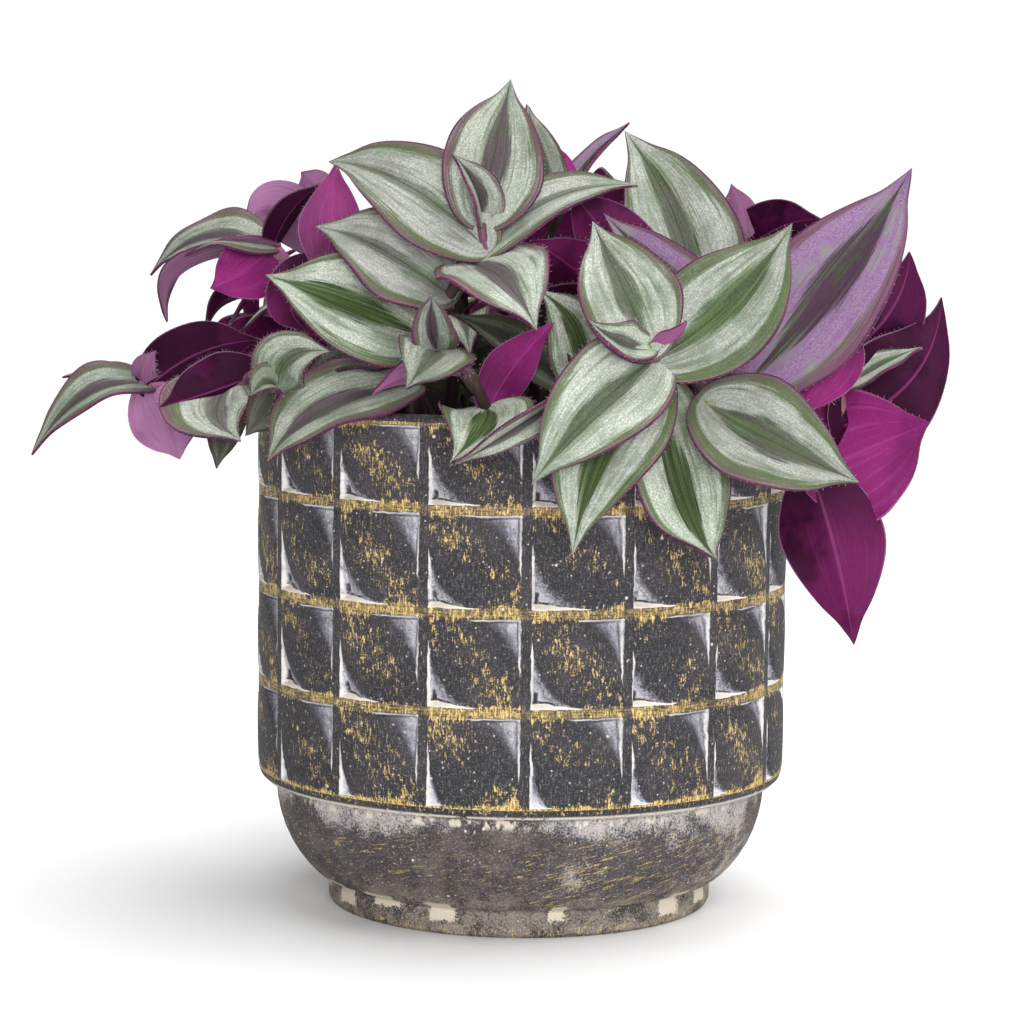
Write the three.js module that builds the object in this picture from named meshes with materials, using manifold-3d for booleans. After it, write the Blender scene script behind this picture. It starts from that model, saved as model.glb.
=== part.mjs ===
// A tradescantia (inch plant) in a round pot with pillow-like relief squares.
//
// Millimetres, +Z up. The origin is the centre of the pot's flat underside and
// the front of the plant looks along -Y. The pot is one lathe-like wall whose
// outside carries the relief. It is filled with potting soil, and each leafy
// stem is one solid: a stem with its leaves, standing in its own hole in the soil.

import * as THREE from "three";
import Module from "manifold-3d";

const wasm = await Module();
wasm.setup();

// ---------------------------------------------------------------- pot
const POT_RADIUS = 70; // outside of the relief band
const POT_HEIGHT = 133.5;
const SQUARES_ROUND = 17; // relief squares in one row
const FIRST_SQUARE_EDGE = 1; // degrees from the front (-Y) towards +X
const ROW_EDGES = [37, 60.6, 85.1, 110.7, 131.8]; // heights between the four rows
const DIP_DEPTH = 3.4; // at the two hollow corners of a square
const SQUARE_STEPS = [0, 0.1, 0.9]; // where a square's surface has vertices
const WIDEST_FACET = (0.8 * 2 * Math.PI) / SQUARES_ROUND; // angle that it takes round the pot

// Outline below the band: foot ring, groove, bowl and the step under the band.
const FOOT = [[50.2, 0], [51.6, 1.6], [51.4, 6.4], [52.6, 7.4]];
const BOWL_CENTRE_RADIUS = 40.2;
const BOWL_CENTRE_HEIGHT = 33;
const BOWL_WIDTH = 25;
const BOWL_DROP = 30;
const BOWL_HEIGHTS = [10.5, 16, 24, 33];
const STEP = [[67.2, 33.6], [69.4, 34.8]];
const RIM = [[69.2, 133.1], [67.4, 133.5], [65.6, 133.3]];
const INSIDE = [[64.8, 132.3], [64.8, 44], [60, 33], [53, 18], [44, 10]]; // from the rim down

// ---------------------------------------------------------------- soil
const GAP = 0.3; // clearance between touching pieces
const SOIL_TOP = 121;
const SOIL_BUMP = 0.9; // unevenness of its top
const SOIL_SIDES = 24;
const HOLE_FLOOR = 105.7; // stems stand 15 mm deep
const HOLE_SIDES = 6;

// ---------------------------------------------------------------- leaves and stems
const STEM_RADIUS = 1.9;
const STEM_TIP_RADIUS = 1.3;
const STEM_SIDES = 5;
const BLADE_THICKNESS = 0.72;
const WIDEST_AT = 0.34; // a leaf is widest at a third of its length
const STATIONS = [0, 0.09, 0.28, 0.54, 0.79, 1]; // rows of vertices along a leaf
const SMALL_LEAF = 22; // narrower leaves have fewer rows
const SMALL_STATIONS = [0, 0.14, 0.4, 0.74, 1];
const ACROSS = [-1, 0, 1]; // margin, midrib, margin

// The leafy stems seen from the front, each as it grows. root is its hole in the
// soil, path the points that it passes above the soil, and a leaf is a row of:
// the path point it grows from, its tip, how far the middle of its midrib is
// bowed, where its upper side looks, its width and the fold of each half (degrees).
const STEMS = [
  {
    name: "front_right",
    root: [24, -34],
    path: [[27, -52, 139], [32, -68, 142], [31, -75, 144], [31, -80, 148], [30, -83, 151]],
    leaves: [
      [1, [46, -92, 102], [0, 3, -8], [0.1, -0.8, 0.7], 25, 16],
      [2, [12, -88, 102], [-3, -4, 3], [0, -1, 0.35], 27, 16],
      [3, [2, -92, 119], [0, -3, 3], [0.1, -1, 0.45], 26, 16],
      [3, [65, -62, 181], [2, -3, -2], [-0.15, -1, 0.2], 29, 14],
      [4, [16, -74, 181], [0, -2, 0], [0.1, -1, 0.05], 25, 18],
      [4, [15, -93, 158], [0, 0, -2], [0, -0.5, 1], 12, 40],
      [4, [38, -87, 158], [1, 0, -1], [-0.5, 0.7, 0.3], 8, 30],
    ],
  },
  {
    name: "right_low",
    root: [38, -16],
    path: [[42, -40, 140], [44, -64, 139], [44, -74, 137], [55, -64, 142], [68, -60, 149], [79, -55, 154]],
    leaves: [
      [2, [81, -76, 119], [-1, -4, 0], [0.15, -1, 0.4], 29, 14],
      [3, [96, -45, 195], [2, -3, 0], [-0.15, -1, 0.25], 31, 14],
      [5, [66, -62, 134], [1, 1, 0], [0.15, 1, 0.1], 17, 15],
      [5, [84, -58, 157], [0, 0, 1], [0, -0.5, 1], 5, 40],
      [4, [87, -46, 158], [0, 0, 2], [-0.3, -1, 0.3], 12, 15],
    ],
  },
  {
    name: "right_drape",
    root: [52, -2],
    path: [[62, -14, 139], [74, -30, 143], [80, -37, 139], [79, -41, 130], [73, -42, 118]],
    leaves: [
      [1, [98, -26, 174], [6, 2, -2], [-0.3, 1, 0.1], 30, 14],
      [2, [101, -34, 150], [0, 0, 1], [0, -0.3, 1], 13, 10],
      [3, [108, -14, 162], [6, 0, -4], [-0.6, 1, -0.1], 30, 12],
      [4, [101, -52, 132], [0, 2, 0], [-0.2, 1, -0.25], 35, 12],
      [4, [84, -44, 75], [1, -2, 0], [0.1, 1, 0.1], 27, 18],
    ],
  },
  {
    name: "centre_right",
    root: [14, -12],
    path: [[18, -22, 146], [24, -30, 158], [34, -33, 162], [44, -34, 160], [47, -44, 158]],
    leaves: [
      [3, [25, -25, 204], [3, -2, 1], [0, -1, 0.15], 30, 14],
      [4, [19, -56, 183], [0, 0, -1], [0.1, -1, 0.5], 18, 14],
      [1, [1, -38, 176], [0, 0, 2], [0.2, 1, 0.3], 18, 12],
      [2, [10, -38, 190], [0, 0, 0], [0, 1, 0.2], 20, 12],
      [1, [3, -48, 164], [0, 0, 1], [0, 0.8, 0.4], 9, 12],
    ],
  },
  {
    name: "centre_top",
    root: [-6, -14],
    path: [[-14, -32, 140], [-25, -48, 152], [-19, -51, 162], [-14, -53, 169], [-10, -54, 174], [-11, -53, 181]],
    leaves: [
      [1, [-64, -54, 167], [0, -3, 1], [-0.2, -0.9, 0.45], 29, 14],
      [2, [-52, -50, 179], [0, -2, 3], [-0.1, -0.8, 0.6], 26, 14],
      [3, [3, -80, 155], [0, -3, 5], [-0.1, -0.5, 1], 29, 12],
      [3, [28, -44, 190], [-2, -1, 6], [-0.3, -0.8, 0.8], 18, 16],
      [4, [-49, -48, 195], [0, -2, 5], [0, -1, 0.35], 25, 14],
      [5, [-4, -42, 216], [0, -3, 0], [0.1, -1, 0.2], 26, 14],
      [5, [-18, -58, 197], [2, -2, 0], [0.6, -0.8, 0], 13, 45],
    ],
  },
  {
    name: "centre_small",
    root: [-12, -38],
    path: [[-12, -54, 136], [-9, -68, 135], [-14, -72, 145], [-21, -72, 149]],
    leaves: [
      [1, [-17, -86, 124], [3, -3, 2], [-0.1, -0.8, 0.6], 24, 14],
      [1, [7, -58, 156], [-1, -2, 1], [-0.3, 1, 0.2], 13, 10],
      [3, [-28, -86, 141], [2, -3, 3], [0.1, -0.8, 0.7], 20, 14],
      [2, [-37, -74, 139], [0, 0, 3], [0.3, 0.6, 1], 12, 12],
      [3, [-22, -76, 163], [-1, -3, 0], [0.2, -1, 0.2], 13, 35],
    ],
  },
  {
    name: "centre_mid",
    root: [6, -32],
    path: [[14, -50, 138], [8, -70, 138]],
    leaves: [
      [0, [3, -52, 164], [4, -1, 3], [0, -1, 0.1], 17, 14],
      [0, [-18, -56, 158], [0, 2, 2], [-0.4, -0.8, 0.5], 14, 35],
      [1, [-16, -97, 124], [2, -8, 1], [0.1, -1, -0.3], 9, 30],
    ],
  },
  {
    name: "left_front",
    root: [-24, -32],
    path: [[-28, -50, 139], [-33, -46, 145]],
    leaves: [
      [0, [-62, -72, 122], [-4, -3, 4], [-0.1, -0.7, 0.8], 25, 16],
      [1, [-55, -53, 142], [0, 0, 2], [-0.1, -0.5, 1], 17, 15],
      [1, [-52, -42, 144], [0, 0, 2], [0, -0.2, 1], 10, 15],
    ],
  },
  {
    name: "left_small",
    root: [-38, -24],
    path: [[-50, -40, 139], [-58, -50, 141], [-60, -65, 140]],
    leaves: [
      [2, [-47, -70, 149], [-3, -1, 3], [0, -1, 0.3], 16, 14],
      [2, [-66, -72, 138], [0, -1, 2], [-0.2, -1, 0.4], 10, 30],
      [1, [-69, -53, 127], [0, 0, 0], [0, -0.8, -0.3], 14, 14],
    ],
  },
  {
    name: "left_mid",
    root: [-45, -14],
    path: [[-58, -24, 139], [-67, -38, 142], [-74, -38, 138]],
    leaves: [
      [1, [-91, -46, 134], [-1, 0, -1], [0, 1, 0.3], 18, 14],
      [2, [-70, -54, 126], [-5, 0, 0], [-0.1, -0.7, 0.7], 28, 12],
      [2, [-77, -44, 118], [0, 0, 0], [0, 1, 0.3], 11, 14],
    ],
  },
  {
    name: "left_trailing",
    root: [-48, -3],
    path: [[-60, -10, 141], [-76, -18, 144], [-90, -22, 140], [-97, -23, 137]],
    leaves: [
      [3, [-126, -30, 120], [0, -2, 7], [-0.1, -0.45, 0.9], 20, 14],
      [3, [-67, -30, 150], [-1, 0, 3], [0.1, 1, 0.2], 18, 14],
      [3, [-88, -29, 119], [1, 0, 0], [0, 1, 0.3], 22, 14],
      [3, [-94, -28, 147], [-2, 0, 0], [0.3, 0.9, 0.2], 8, 20],
      [3, [-121, -10, 139], [0, 2, 2], [0, -0.3, 1], 12, 16],
    ],
  },
  {
    name: "left_upper",
    root: [-30, 2],
    path: [[-40, -6, 146], [-54, -16, 162], [-65, -22, 173]],
    leaves: [
      [2, [-97, -18, 166], [-1, -2, 6], [0, -0.5, 0.9], 20, 14],
      [2, [-92, -24, 154], [-9, 0, 4], [-0.4, 0.3, 0.9], 14, 20],
      [2, [-80, -32, 163], [0, 0, -1], [0, 1, 0.1], 17, 14],
      [2, [-52, -28, 190], [-2, 0, 1], [-0.7, 0.7, 0], 9, 20],
      [1, [-82, -24, 152], [-6, 0, 5], [-0.2, 0.6, 0.8], 11, 20],
      [1, [-76, -25, 153], [-3, 1, 4], [0, 0.4, 1], 8, 20],
    ],
  },
  {
    name: "left_inner",
    root: [-22, -12],
    path: [[-34, -24, 146], [-45, -32, 158], [-50, -34, 169]],
    leaves: [
      [2, [-48, -31, 195], [0, -1, 0], [-0.1, 1, 0], 16, 12],
      [2, [-54, -38, 152], [-7, 0, 0], [-0.1, 1, 0], 15, 12],
    ],
  },
  {
    name: "left_back",
    root: [-34, 14],
    path: [[-44, 6, 150], [-54, 2, 172], [-52, 0, 181]],
    leaves: [
      [1, [-74, -6, 179], [-1, 0, 8], [0, 1, 0.3], 17, 14],
      [2, [-59, -4, 193], [0, 0, 2], [0, 1, 0.3], 12, 14],
    ],
  },
  {
    name: "centre_back",
    root: [2, 8],
    path: [[4, 4, 150], [6, -2, 172], [8, -6, 184]],
    leaves: [
      [2, [27, 2, 207], [0, 0, 1], [-0.3, -0.5, 0.8], 9, 40],
      [2, [6, -4, 203], [0, 0, 0], [0, 1, 0], 14, 14],
      [0, [-25, 17, 143], [0, 4, -1], [0, -1, 0.2], 17, 12],
      [2, [0, -10, 211], [0, 0, 0], [0, -1, 0.2], 12, 14],
    ],
  },
  {
    name: "right_back",
    root: [36, 10],
    path: [[44, 2, 150], [52, -8, 168], [57, -14, 178]],
    leaves: [
      [1, [76, -24, 182], [0, 0, 4], [0, 1, 0.2], 18, 14],
      [2, [53, -16, 191], [0, 0, 0], [0, 1, 0], 10, 14],
    ],
  },
];

// The other stems end in an open rosette. azimuth is the way the stem leans (0 is
// +X, 90 is the back), reach and height place its end, look is how far the rosette
// is turned up from looking outwards, spin turns its leaves round its middle, and
// size is the length of its longest leaves.
const ROSETTES = [
  { name: "back_right", root: [30, 30], azimuth: 52, reach: 84, height: 144, look: 20, spin: -24, size: 47 },
  { name: "back_left", root: [-26, 32], azimuth: 126, reach: 82, height: 148, look: 12, spin: 14, size: 45 },
  { name: "back", root: [2, 36], azimuth: 90, reach: 62, height: 166, look: 28, spin: -8, size: 46 },
  { name: "side_right", root: [50, 14], azimuth: 16, reach: 66, height: 152, look: 20, spin: 12, size: 38 },
  { name: "side_left", root: [-52, 16], azimuth: 166, reach: 72, height: 152, look: 20, spin: -18, size: 36 },
  { name: "top_right", root: [20, 18], azimuth: 50, reach: 32, height: 178, look: 38, spin: 20, size: 40 },
  { name: "top_left", root: [-14, 20], azimuth: 142, reach: 38, height: 176, look: 40, spin: 0, size: 41 },
  { name: "middle_right", root: [28, -4], azimuth: 352, reach: 24, height: 158, look: 80, spin: 20, size: 26 },
  { name: "middle_left", root: [-20, 4], azimuth: 196, reach: 17, height: 157, look: 80, spin: 20, size: 29 },
];
// Each leaf's clock angle round the rosette's middle, from straight up, the path
// point it grows from and its length as a part of the longest. The lower ones are
// older and grow further back.
const ROSETTE_LEAVES = [
  [150, 2, 1.04], [-128, 3, 0.96], [84, 4, 0.88], [-62, 5, 0.82], [22, 6, 0.68], [176, 7, 0.4],
];
const NODE_STEP = 3; // between the rosette's leaves
const ROSETTE_WIDTH = 0.58; // of a leaf, as a part of its length
const ROSETTE_ARCH = 0.17; // how far a leaf arches outwards, as a part of its length
const ROSETTE_DROOP = 0.3; // how far its tip hangs back
const ROSETTE_FOLD = 17;

// ---------------------------------------------------------------- small helpers
const vec = (v) => new THREE.Vector3(...v);
const radians = THREE.MathUtils.degToRad;

/** A closed mesh from points and triangles (outward when counted anticlockwise). */
function solid(points, triangles) {
  const mesh = new wasm.Mesh({
    numProp: 3,
    vertProperties: new Float32Array(points.flatMap((p) => [p.x, p.y, p.z])),
    triVerts: new Uint32Array(triangles.flat()),
  });
  return new wasm.Manifold(mesh);
}

/** Rings of equal length, joined in order, each end closed with a fan. */
function ringedSolid(rings, startPoint, endPoint) {
  const count = rings[0].length;
  const points = [...rings.flat(), startPoint, endPoint];
  const start = points.length - 2;
  const end = points.length - 1;
  const triangles = [];
  for (let k = 0; k < count; k++) {
    const next = (k + 1) % count;
    triangles.push([start, next, k]);
    for (let r = 0; r + 1 < rings.length; r++) {
      const a = r * count;
      const b = a + count;
      triangles.push([a + k, a + next, b + k], [a + next, b + next, b + k]);
    }
    const last = (rings.length - 1) * count;
    triangles.push([last + k, last + next, end]);
  }
  return solid(points, triangles);
}

/** Keeps the largest closed surface of a fused solid: a hollow that fusing sealed is filled. */
function largestSurface(mesh) {
  const owner = new Map();
  const find = (v) => {
    while (owner.get(v) !== v) v = owner.get(v);
    return v;
  };
  const corners = mesh.triVerts;
  for (let i = 0; i < mesh.numVert; i++) owner.set(i, i);
  for (let t = 0; t < corners.length; t += 3) {
    owner.set(find(corners[t + 1]), find(corners[t]));
    owner.set(find(corners[t + 2]), find(corners[t]));
  }
  const sizes = new Map();
  for (let t = 0; t < corners.length; t += 3) {
    const group = find(corners[t]);
    sizes.set(group, (sizes.get(group) ?? 0) + 1);
  }
  const largest = [...sizes].sort((a, b) => b[1] - a[1])[0][0];
  const kept = [];
  for (let t = 0; t < corners.length; t += 3) {
    if (find(corners[t]) === largest) kept.push(corners[t], corners[t + 1], corners[t + 2]);
  }
  return kept;
}

/** A named mesh from a manifold solid. */
function piece(name, shape, colour, roughness) {
  const mesh = shape.getMesh();
  const geometry = new THREE.BufferGeometry();
  geometry.setAttribute("position", new THREE.BufferAttribute(new Float32Array(mesh.vertProperties), 3));
  geometry.setIndex(largestSurface(mesh));
  const flat = geometry.toNonIndexed();
  flat.computeVertexNormals();
  const material = new THREE.MeshStandardMaterial({ color: colour, roughness, metalness: 0 });
  const result = new THREE.Mesh(flat, material);
  result.name = name;
  return result;
}

// ---------------------------------------------------------------- pot and soil

/** Depth of the relief in a square: low at its lower left and upper right corners. */
function squareDepth(u, v) {
  const [edge, near, far] = SQUARE_STEPS;
  if (u === edge || v === edge) return 0;
  return (u === near && v === near) || (u === far && v === far) ? DIP_DEPTH : 0;
}

/** One ring of the pot's wall. radiusAt gets the place u inside its square. */
function potRing(height, radiusAt) {
  const ring = [];
  for (let square = 0; square < SQUARES_ROUND; square++) {
    for (const u of SQUARE_STEPS) {
      const turn = radians(-90 + FIRST_SQUARE_EDGE + ((square + u) * 360) / SQUARES_ROUND);
      const radius = radiusAt(u);
      ring.push(new THREE.Vector3(radius * Math.cos(turn), radius * Math.sin(turn), height));
    }
  }
  return ring;
}

function bowlRadius(height) {
  const drop = (BOWL_CENTRE_HEIGHT - height) / BOWL_DROP;
  return BOWL_CENTRE_RADIUS + BOWL_WIDTH * Math.sqrt(1 - drop * drop);
}

function buildPot() {
  const rings = [];
  const plain = ([radius, height]) => rings.push(potRing(height, () => radius));
  FOOT.forEach(plain);
  BOWL_HEIGHTS.forEach((height) => plain([bowlRadius(height), height]));
  STEP.forEach(plain);
  for (let row = 0; row + 1 < ROW_EDGES.length; row++) {
    for (const v of SQUARE_STEPS) {
      const height = THREE.MathUtils.lerp(ROW_EDGES[row], ROW_EDGES[row + 1], v);
      rings.push(potRing(height, (u) => POT_RADIUS - squareDepth(u, v)));
    }
  }
  plain([POT_RADIUS, ROW_EDGES.at(-1)]);
  RIM.forEach(plain);
  INSIDE.forEach(plain);
  return ringedSolid(rings, vec([0, 0, 0]), vec([0, 0, INSIDE.at(-1)[1]]));
}

/** A plain upright prism with its flats at the given radius. */
function prism([x, y], flatRadius, sides, low, high) {
  const radius = flatRadius / Math.cos(Math.PI / sides);
  const ring = (height) =>
    Array.from({ length: sides }, (_, k) => {
      const turn = (2 * Math.PI * k) / sides;
      return vec([x + radius * Math.cos(turn), y + radius * Math.sin(turn), height]);
    });
  return ringedSolid([ring(low), ring(high)], vec([x, y, low]), vec([x, y, high]));
}

/** The soil fills the pot; its top is a little uneven and has a hole for each stem. */
function buildSoil(roots) {
  const ring = (radius, height, bump) =>
    Array.from({ length: SOIL_SIDES }, (_, k) => {
      const turn = (2 * Math.PI * k) / SOIL_SIDES;
      const lift = bump * Math.sin(3 * turn + radius) * Math.cos(2 * turn);
      return vec([radius * Math.cos(turn), radius * Math.sin(turn), height + lift]);
    });
  const within = (radius) => radius * Math.cos(WIDEST_FACET / 2) - 2 * GAP;
  const rings = INSIDE.slice(1).reverse().map(([radius, height]) => ring(within(radius), height + GAP, 0));
  const widest = within(INSIDE[0][0]);
  rings.push(ring(widest, SOIL_TOP - 1.5, 0), ring(0.82 * widest, SOIL_TOP, SOIL_BUMP));
  rings.push(ring(0.45 * widest, SOIL_TOP + 0.6, SOIL_BUMP));
  const bottom = INSIDE.at(-1)[1] + GAP;
  let soil = ringedSolid(rings, vec([0, 0, bottom]), vec([0, 0, SOIL_TOP + SOIL_BUMP]));
  for (const root of roots) {
    soil = soil.subtract(prism(root, STEM_RADIUS + GAP, HOLE_SIDES, HOLE_FLOOR, SOIL_TOP + 5));
  }
  return soil;
}

// ---------------------------------------------------------------- stems and leaves

/** A slim tube through the points, thinner towards its tip. */
function stemSolid(points) {
  const rings = [];
  let across = vec([1, 0, 0]);
  points.forEach((point, i) => {
    const before = points[Math.max(0, i - 1)];
    const after = points[Math.min(points.length - 1, i + 1)];
    const along = after.clone().sub(before).normalize();
    across = across.clone().addScaledVector(along, -across.dot(along)).normalize();
    const other = along.clone().cross(across);
    const radius = THREE.MathUtils.lerp(STEM_RADIUS, STEM_TIP_RADIUS, i / (points.length - 1));
    rings.push(
      Array.from({ length: STEM_SIDES }, (_, k) => {
        const turn = (2 * Math.PI * k) / STEM_SIDES;
        return point.clone()
          .addScaledVector(across, radius * Math.cos(turn))
          .addScaledVector(other, radius * Math.sin(turn));
      }),
    );
  });
  return ringedSolid(rings, points[0], points.at(-1));
}

/** Half the outline of a leaf: round at its base, pointed at its tip (0 to 1). */
function outline(t) {
  if (t < WIDEST_AT) return Math.sqrt(1 - (1 - t / WIDEST_AT) ** 2);
  const s = (t - WIDEST_AT) / (1 - WIDEST_AT);
  return Math.max(0, 1 - s * s) ** 1.3;
}

/** Midrib point, sideways and upward directions of a leaf at t along its length. */
function leafFrame(base, tip, bow, face, t) {
  const bend = base.clone().add(tip).multiplyScalar(0.5).addScaledVector(bow, 2);
  const point = base.clone().multiplyScalar((1 - t) ** 2)
    .addScaledVector(bend, 2 * t * (1 - t))
    .addScaledVector(tip, t * t);
  const along = bend.clone().sub(base).multiplyScalar(1 - t)
    .addScaledVector(tip.clone().sub(bend), t).normalize();
  const side = along.clone().cross(face).normalize();
  const up = side.clone().cross(along);
  return { point, side, up };
}

/** A leaf blade: two like sheets of triangles, one below the other, and the edge between. */
function leafSolid(base, [, tipRow, bowRow, faceRow, wide, fold]) {
  const stations = wide > SMALL_LEAF ? STATIONS : SMALL_STATIONS;
  const foldAngle = radians(fold);
  const drop = BLADE_THICKNESS / Math.cos(foldAngle);
  const points = [];
  const rows = stations.map((t, i) => {
    const { point, side, up } = leafFrame(base, vec(tipRow), vec(bowRow), vec(faceRow), t);
    const pointed = i === 0 || i === stations.length - 1;
    const places = pointed ? [0] : ACROSS;
    const row = places.map((u) => {
      const half = (wide / 2) * outline(t);
      const top = point.clone()
        .addScaledVector(side, half * u * Math.cos(foldAngle))
        .addScaledVector(up, half * Math.abs(u) * Math.sin(foldAngle));
      points.push(top, top.clone().addScaledVector(up, -drop));
      return points.length - 2;
    });
    return pointed ? ACROSS.map(() => row[0]) : row;
  });
  const triangles = [];
  const face = (a, b, c) => {
    if (a !== b && b !== c && a !== c) triangles.push([a, b, c]);
  };
  for (let i = 0; i + 1 < rows.length; i++) {
    for (let j = 0; j + 1 < ACROSS.length; j++) {
      const [a, b, c, d] = [rows[i][j], rows[i][j + 1], rows[i + 1][j + 1], rows[i + 1][j]];
      face(a, b, c);
      face(a, c, d);
      face(a + 1, c + 1, b + 1);
      face(a + 1, d + 1, c + 1);
    }
    const last = ACROSS.length - 1;
    const [l0, l1, r0, r1] = [rows[i][0], rows[i + 1][0], rows[i][last], rows[i + 1][last]];
    face(l0, l1, l1 + 1);
    face(l0, l1 + 1, l0 + 1);
    face(r0, r1 + 1, r1);
    face(r0, r0 + 1, r1 + 1);
  }
  return solid(points, triangles);
}

/** The stem row of a rosette: a leaning stem with leaves all round its end. */
function rosetteStem({ name, root, azimuth, reach, height, look, spin, size }) {
  const turn = radians(azimuth);
  const tilt = radians(look);
  const out = vec([Math.cos(turn) * Math.cos(tilt), Math.sin(turn) * Math.cos(tilt), Math.sin(tilt)]);
  const side = vec([-Math.sin(turn), Math.cos(turn), 0]);
  const up = out.clone().cross(side);
  const start = vec([...root, SOIL_TOP]);
  const crown = vec([reach * Math.cos(turn), reach * Math.sin(turn), height]);
  const path = [0.35, 0.72].map((part) => {
    const point = start.clone().lerp(crown, part);
    point.z = SOIL_TOP + (height - SOIL_TOP) * Math.sin((part * Math.PI) / 2);
    return point;
  });
  for (let k = 0; k < ROSETTE_LEAVES.length; k++) {
    path.push(crown.clone().addScaledVector(out, (k - 3) * NODE_STEP));
  }
  const leaves = ROSETTE_LEAVES.map(([clock, node, part]) => {
    const angle = radians(clock + spin);
    const length = size * part;
    const overTheRim = Math.cos(angle) < 0 && look < 30;
    const droop = overTheRim ? -ROSETTE_DROOP : ROSETTE_DROOP * part;
    const tip = path[node].clone()
      .addScaledVector(side, length * 0.95 * Math.sin(angle))
      .addScaledVector(up, length * 0.95 * Math.cos(angle))
      .addScaledVector(out, -length * droop);
    const bow = out.clone().multiplyScalar(length * ROSETTE_ARCH);
    return [node, tip.toArray(), bow.toArray(), out.toArray(), length * ROSETTE_WIDTH, ROSETTE_FOLD];
  });
  return { name, root, path: path.map((p) => p.toArray()), leaves };
}

function buildLeafyStem({ root, path, leaves }) {
  const start = [[...root, HOLE_FLOOR + GAP], [...root, SOIL_TOP + 3]];
  const points = [...start, ...path].map(vec);
  let shape = stemSolid(points);
  for (const leaf of leaves) {
    shape = shape.add(leafSolid(vec(path[leaf[0]]), leaf));
  }
  return shape;
}

// ---------------------------------------------------------------- the whole plant
const stems = [...STEMS, ...ROSETTES.map(rosetteStem)];
const plant = new THREE.Group();
plant.add(piece("pot", buildPot(), "#4a4540", 0.62));
plant.add(piece("soil", buildSoil(stems.map((stem) => stem.root)), "#2b221c", 0.95));
for (const stem of stems) {
  plant.add(piece(`leafy_stem_${stem.name}`, buildLeafyStem(stem), "#6f8a66", 0.5));
}

export default plant;
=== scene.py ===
"""A tradescantia (inch plant) in a round pot with pillow-like relief squares.

Metres, +Z up, the origin at the centre of the pot's underside, and the front along
-Y. Lengths of the object are written in millimetres and scaled once, where a mesh is
made; materials, lamps and the camera are in metres. The pot, the soil and each leafy
stem of the frame get finer pieces of the same form.
"""

import math

import bpy
import numpy as np
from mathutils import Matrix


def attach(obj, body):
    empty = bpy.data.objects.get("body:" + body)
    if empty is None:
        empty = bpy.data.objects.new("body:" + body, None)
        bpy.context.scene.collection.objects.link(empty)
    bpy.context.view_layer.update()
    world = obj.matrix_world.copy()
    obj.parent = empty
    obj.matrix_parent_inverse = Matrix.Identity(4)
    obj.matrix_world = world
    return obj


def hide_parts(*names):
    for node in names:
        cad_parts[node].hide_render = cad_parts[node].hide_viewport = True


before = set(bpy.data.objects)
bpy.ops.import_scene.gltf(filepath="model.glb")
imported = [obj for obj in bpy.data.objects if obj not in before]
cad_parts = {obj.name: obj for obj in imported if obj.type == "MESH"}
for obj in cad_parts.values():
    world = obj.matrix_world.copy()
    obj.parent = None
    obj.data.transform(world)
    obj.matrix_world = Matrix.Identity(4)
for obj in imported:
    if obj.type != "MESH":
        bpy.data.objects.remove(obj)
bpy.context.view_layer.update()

MM = 0.001
NEARLY_NOTHING = 0.0001  # keeps roots and shares away from 0
random = np.random.default_rng(7)

# ---------------------------------------------------------------- pot (mm)
POT_RADIUS = 70
SQUARES_ROUND = 17
FIRST_SQUARE_EDGE = 1  # degrees from the front towards +X
ROW_EDGES = [37, 60.6, 85.1, 110.7, 131.8]  # heights between the rows of squares
ROWS = len(ROW_EDGES) - 1
RIB = 0.055  # half a rib between two squares, as a part of a square
LOWEST_RIB_HIDDEN = 0.8  # how much of the lowest half rib the step under it takes up
# Where half a square has rows of vertices: close together on the steep sides by its rib.
HALF_SQUARE_LINES = [0, 0.03, 0.05, 0.07, 0.09, 0.115, 0.15, 0.2, 0.26, 0.335, 0.415]
PILLOW = 0.45  # how far the middle of a square stands out

# Each square has a low dip at its lower left corner and a high one at its upper right.
DIP_DEPTH = 3.4
HIGH_DIP_SHARE = 0.85  # depth of the high dip, as a part of the low one's
DIP_SHAPE = 0.62  # below 1 the inner edge of a dip is hollow
DIP_SIZES = [0.62, 0.74, 0.66, 0.76]  # reach along and up, low dip first, as parts of a square
BOTTOM_DIP_SIZES = [0.24, 0.72, 0.62, 0.8]  # the same in the bottom row
DIP_SPREAD = (0.86, 1.1)  # how these sizes differ from square to square
LOW_DIP_CURVE = 0.8  # below 1 the floor of the dip is flatter
HIGH_DIP_CURVE = 0.9
WALL_RUN = {"left": 0.034, "bottom": 0.062, "right": 0.034, "top": 0.03}  # of the steep sides

# The wall's outline as radius and height, from the foot up and down the inside.
BOWL = {"centre_radius": 40.2, "centre_height": 33, "width": 25, "drop": 30}
BOWL_HEIGHTS = (8.2, 9.5, 11.5, 14, 17, 20.5, 24, 27.5, 31, 33)
FOOT = [(49.8, 0), (50.6, 0.4), (51.1, 1.4), (51.1, 6.0), (50.9, 6.6), (51.3, 7.2), (52.5, 7.5)]
STEP = [(66.4, 33.4), (68.4, 33.8), (69.4, 34.8), (69.9, 36.2)]
RIM = [(69.9, 132.4), (69.4, 133.0), (68.6, 133.4), (67.3, 133.5), (66.0, 133.4), (65.2, 132.9)]
INSIDE = [(64.8, 132.0), (64.8, 126), (64.8, 112), (64.8, 44), (60, 33), (53, 18), (44, 10)]
AXIS_HOLE = 0.001  # radius at which the underside and the floor close
UNDERSIDE_RING = 25
MAP_STEP = 25  # height that a whole step of the map covers above and below the squares
INSIDE_MAP = ROWS + 0.2  # map height of the inside
POT_CREASE = 38  # degrees; sharper edges stay sharp
SEAM = 0.02  # vertices closer than this are merged

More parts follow.
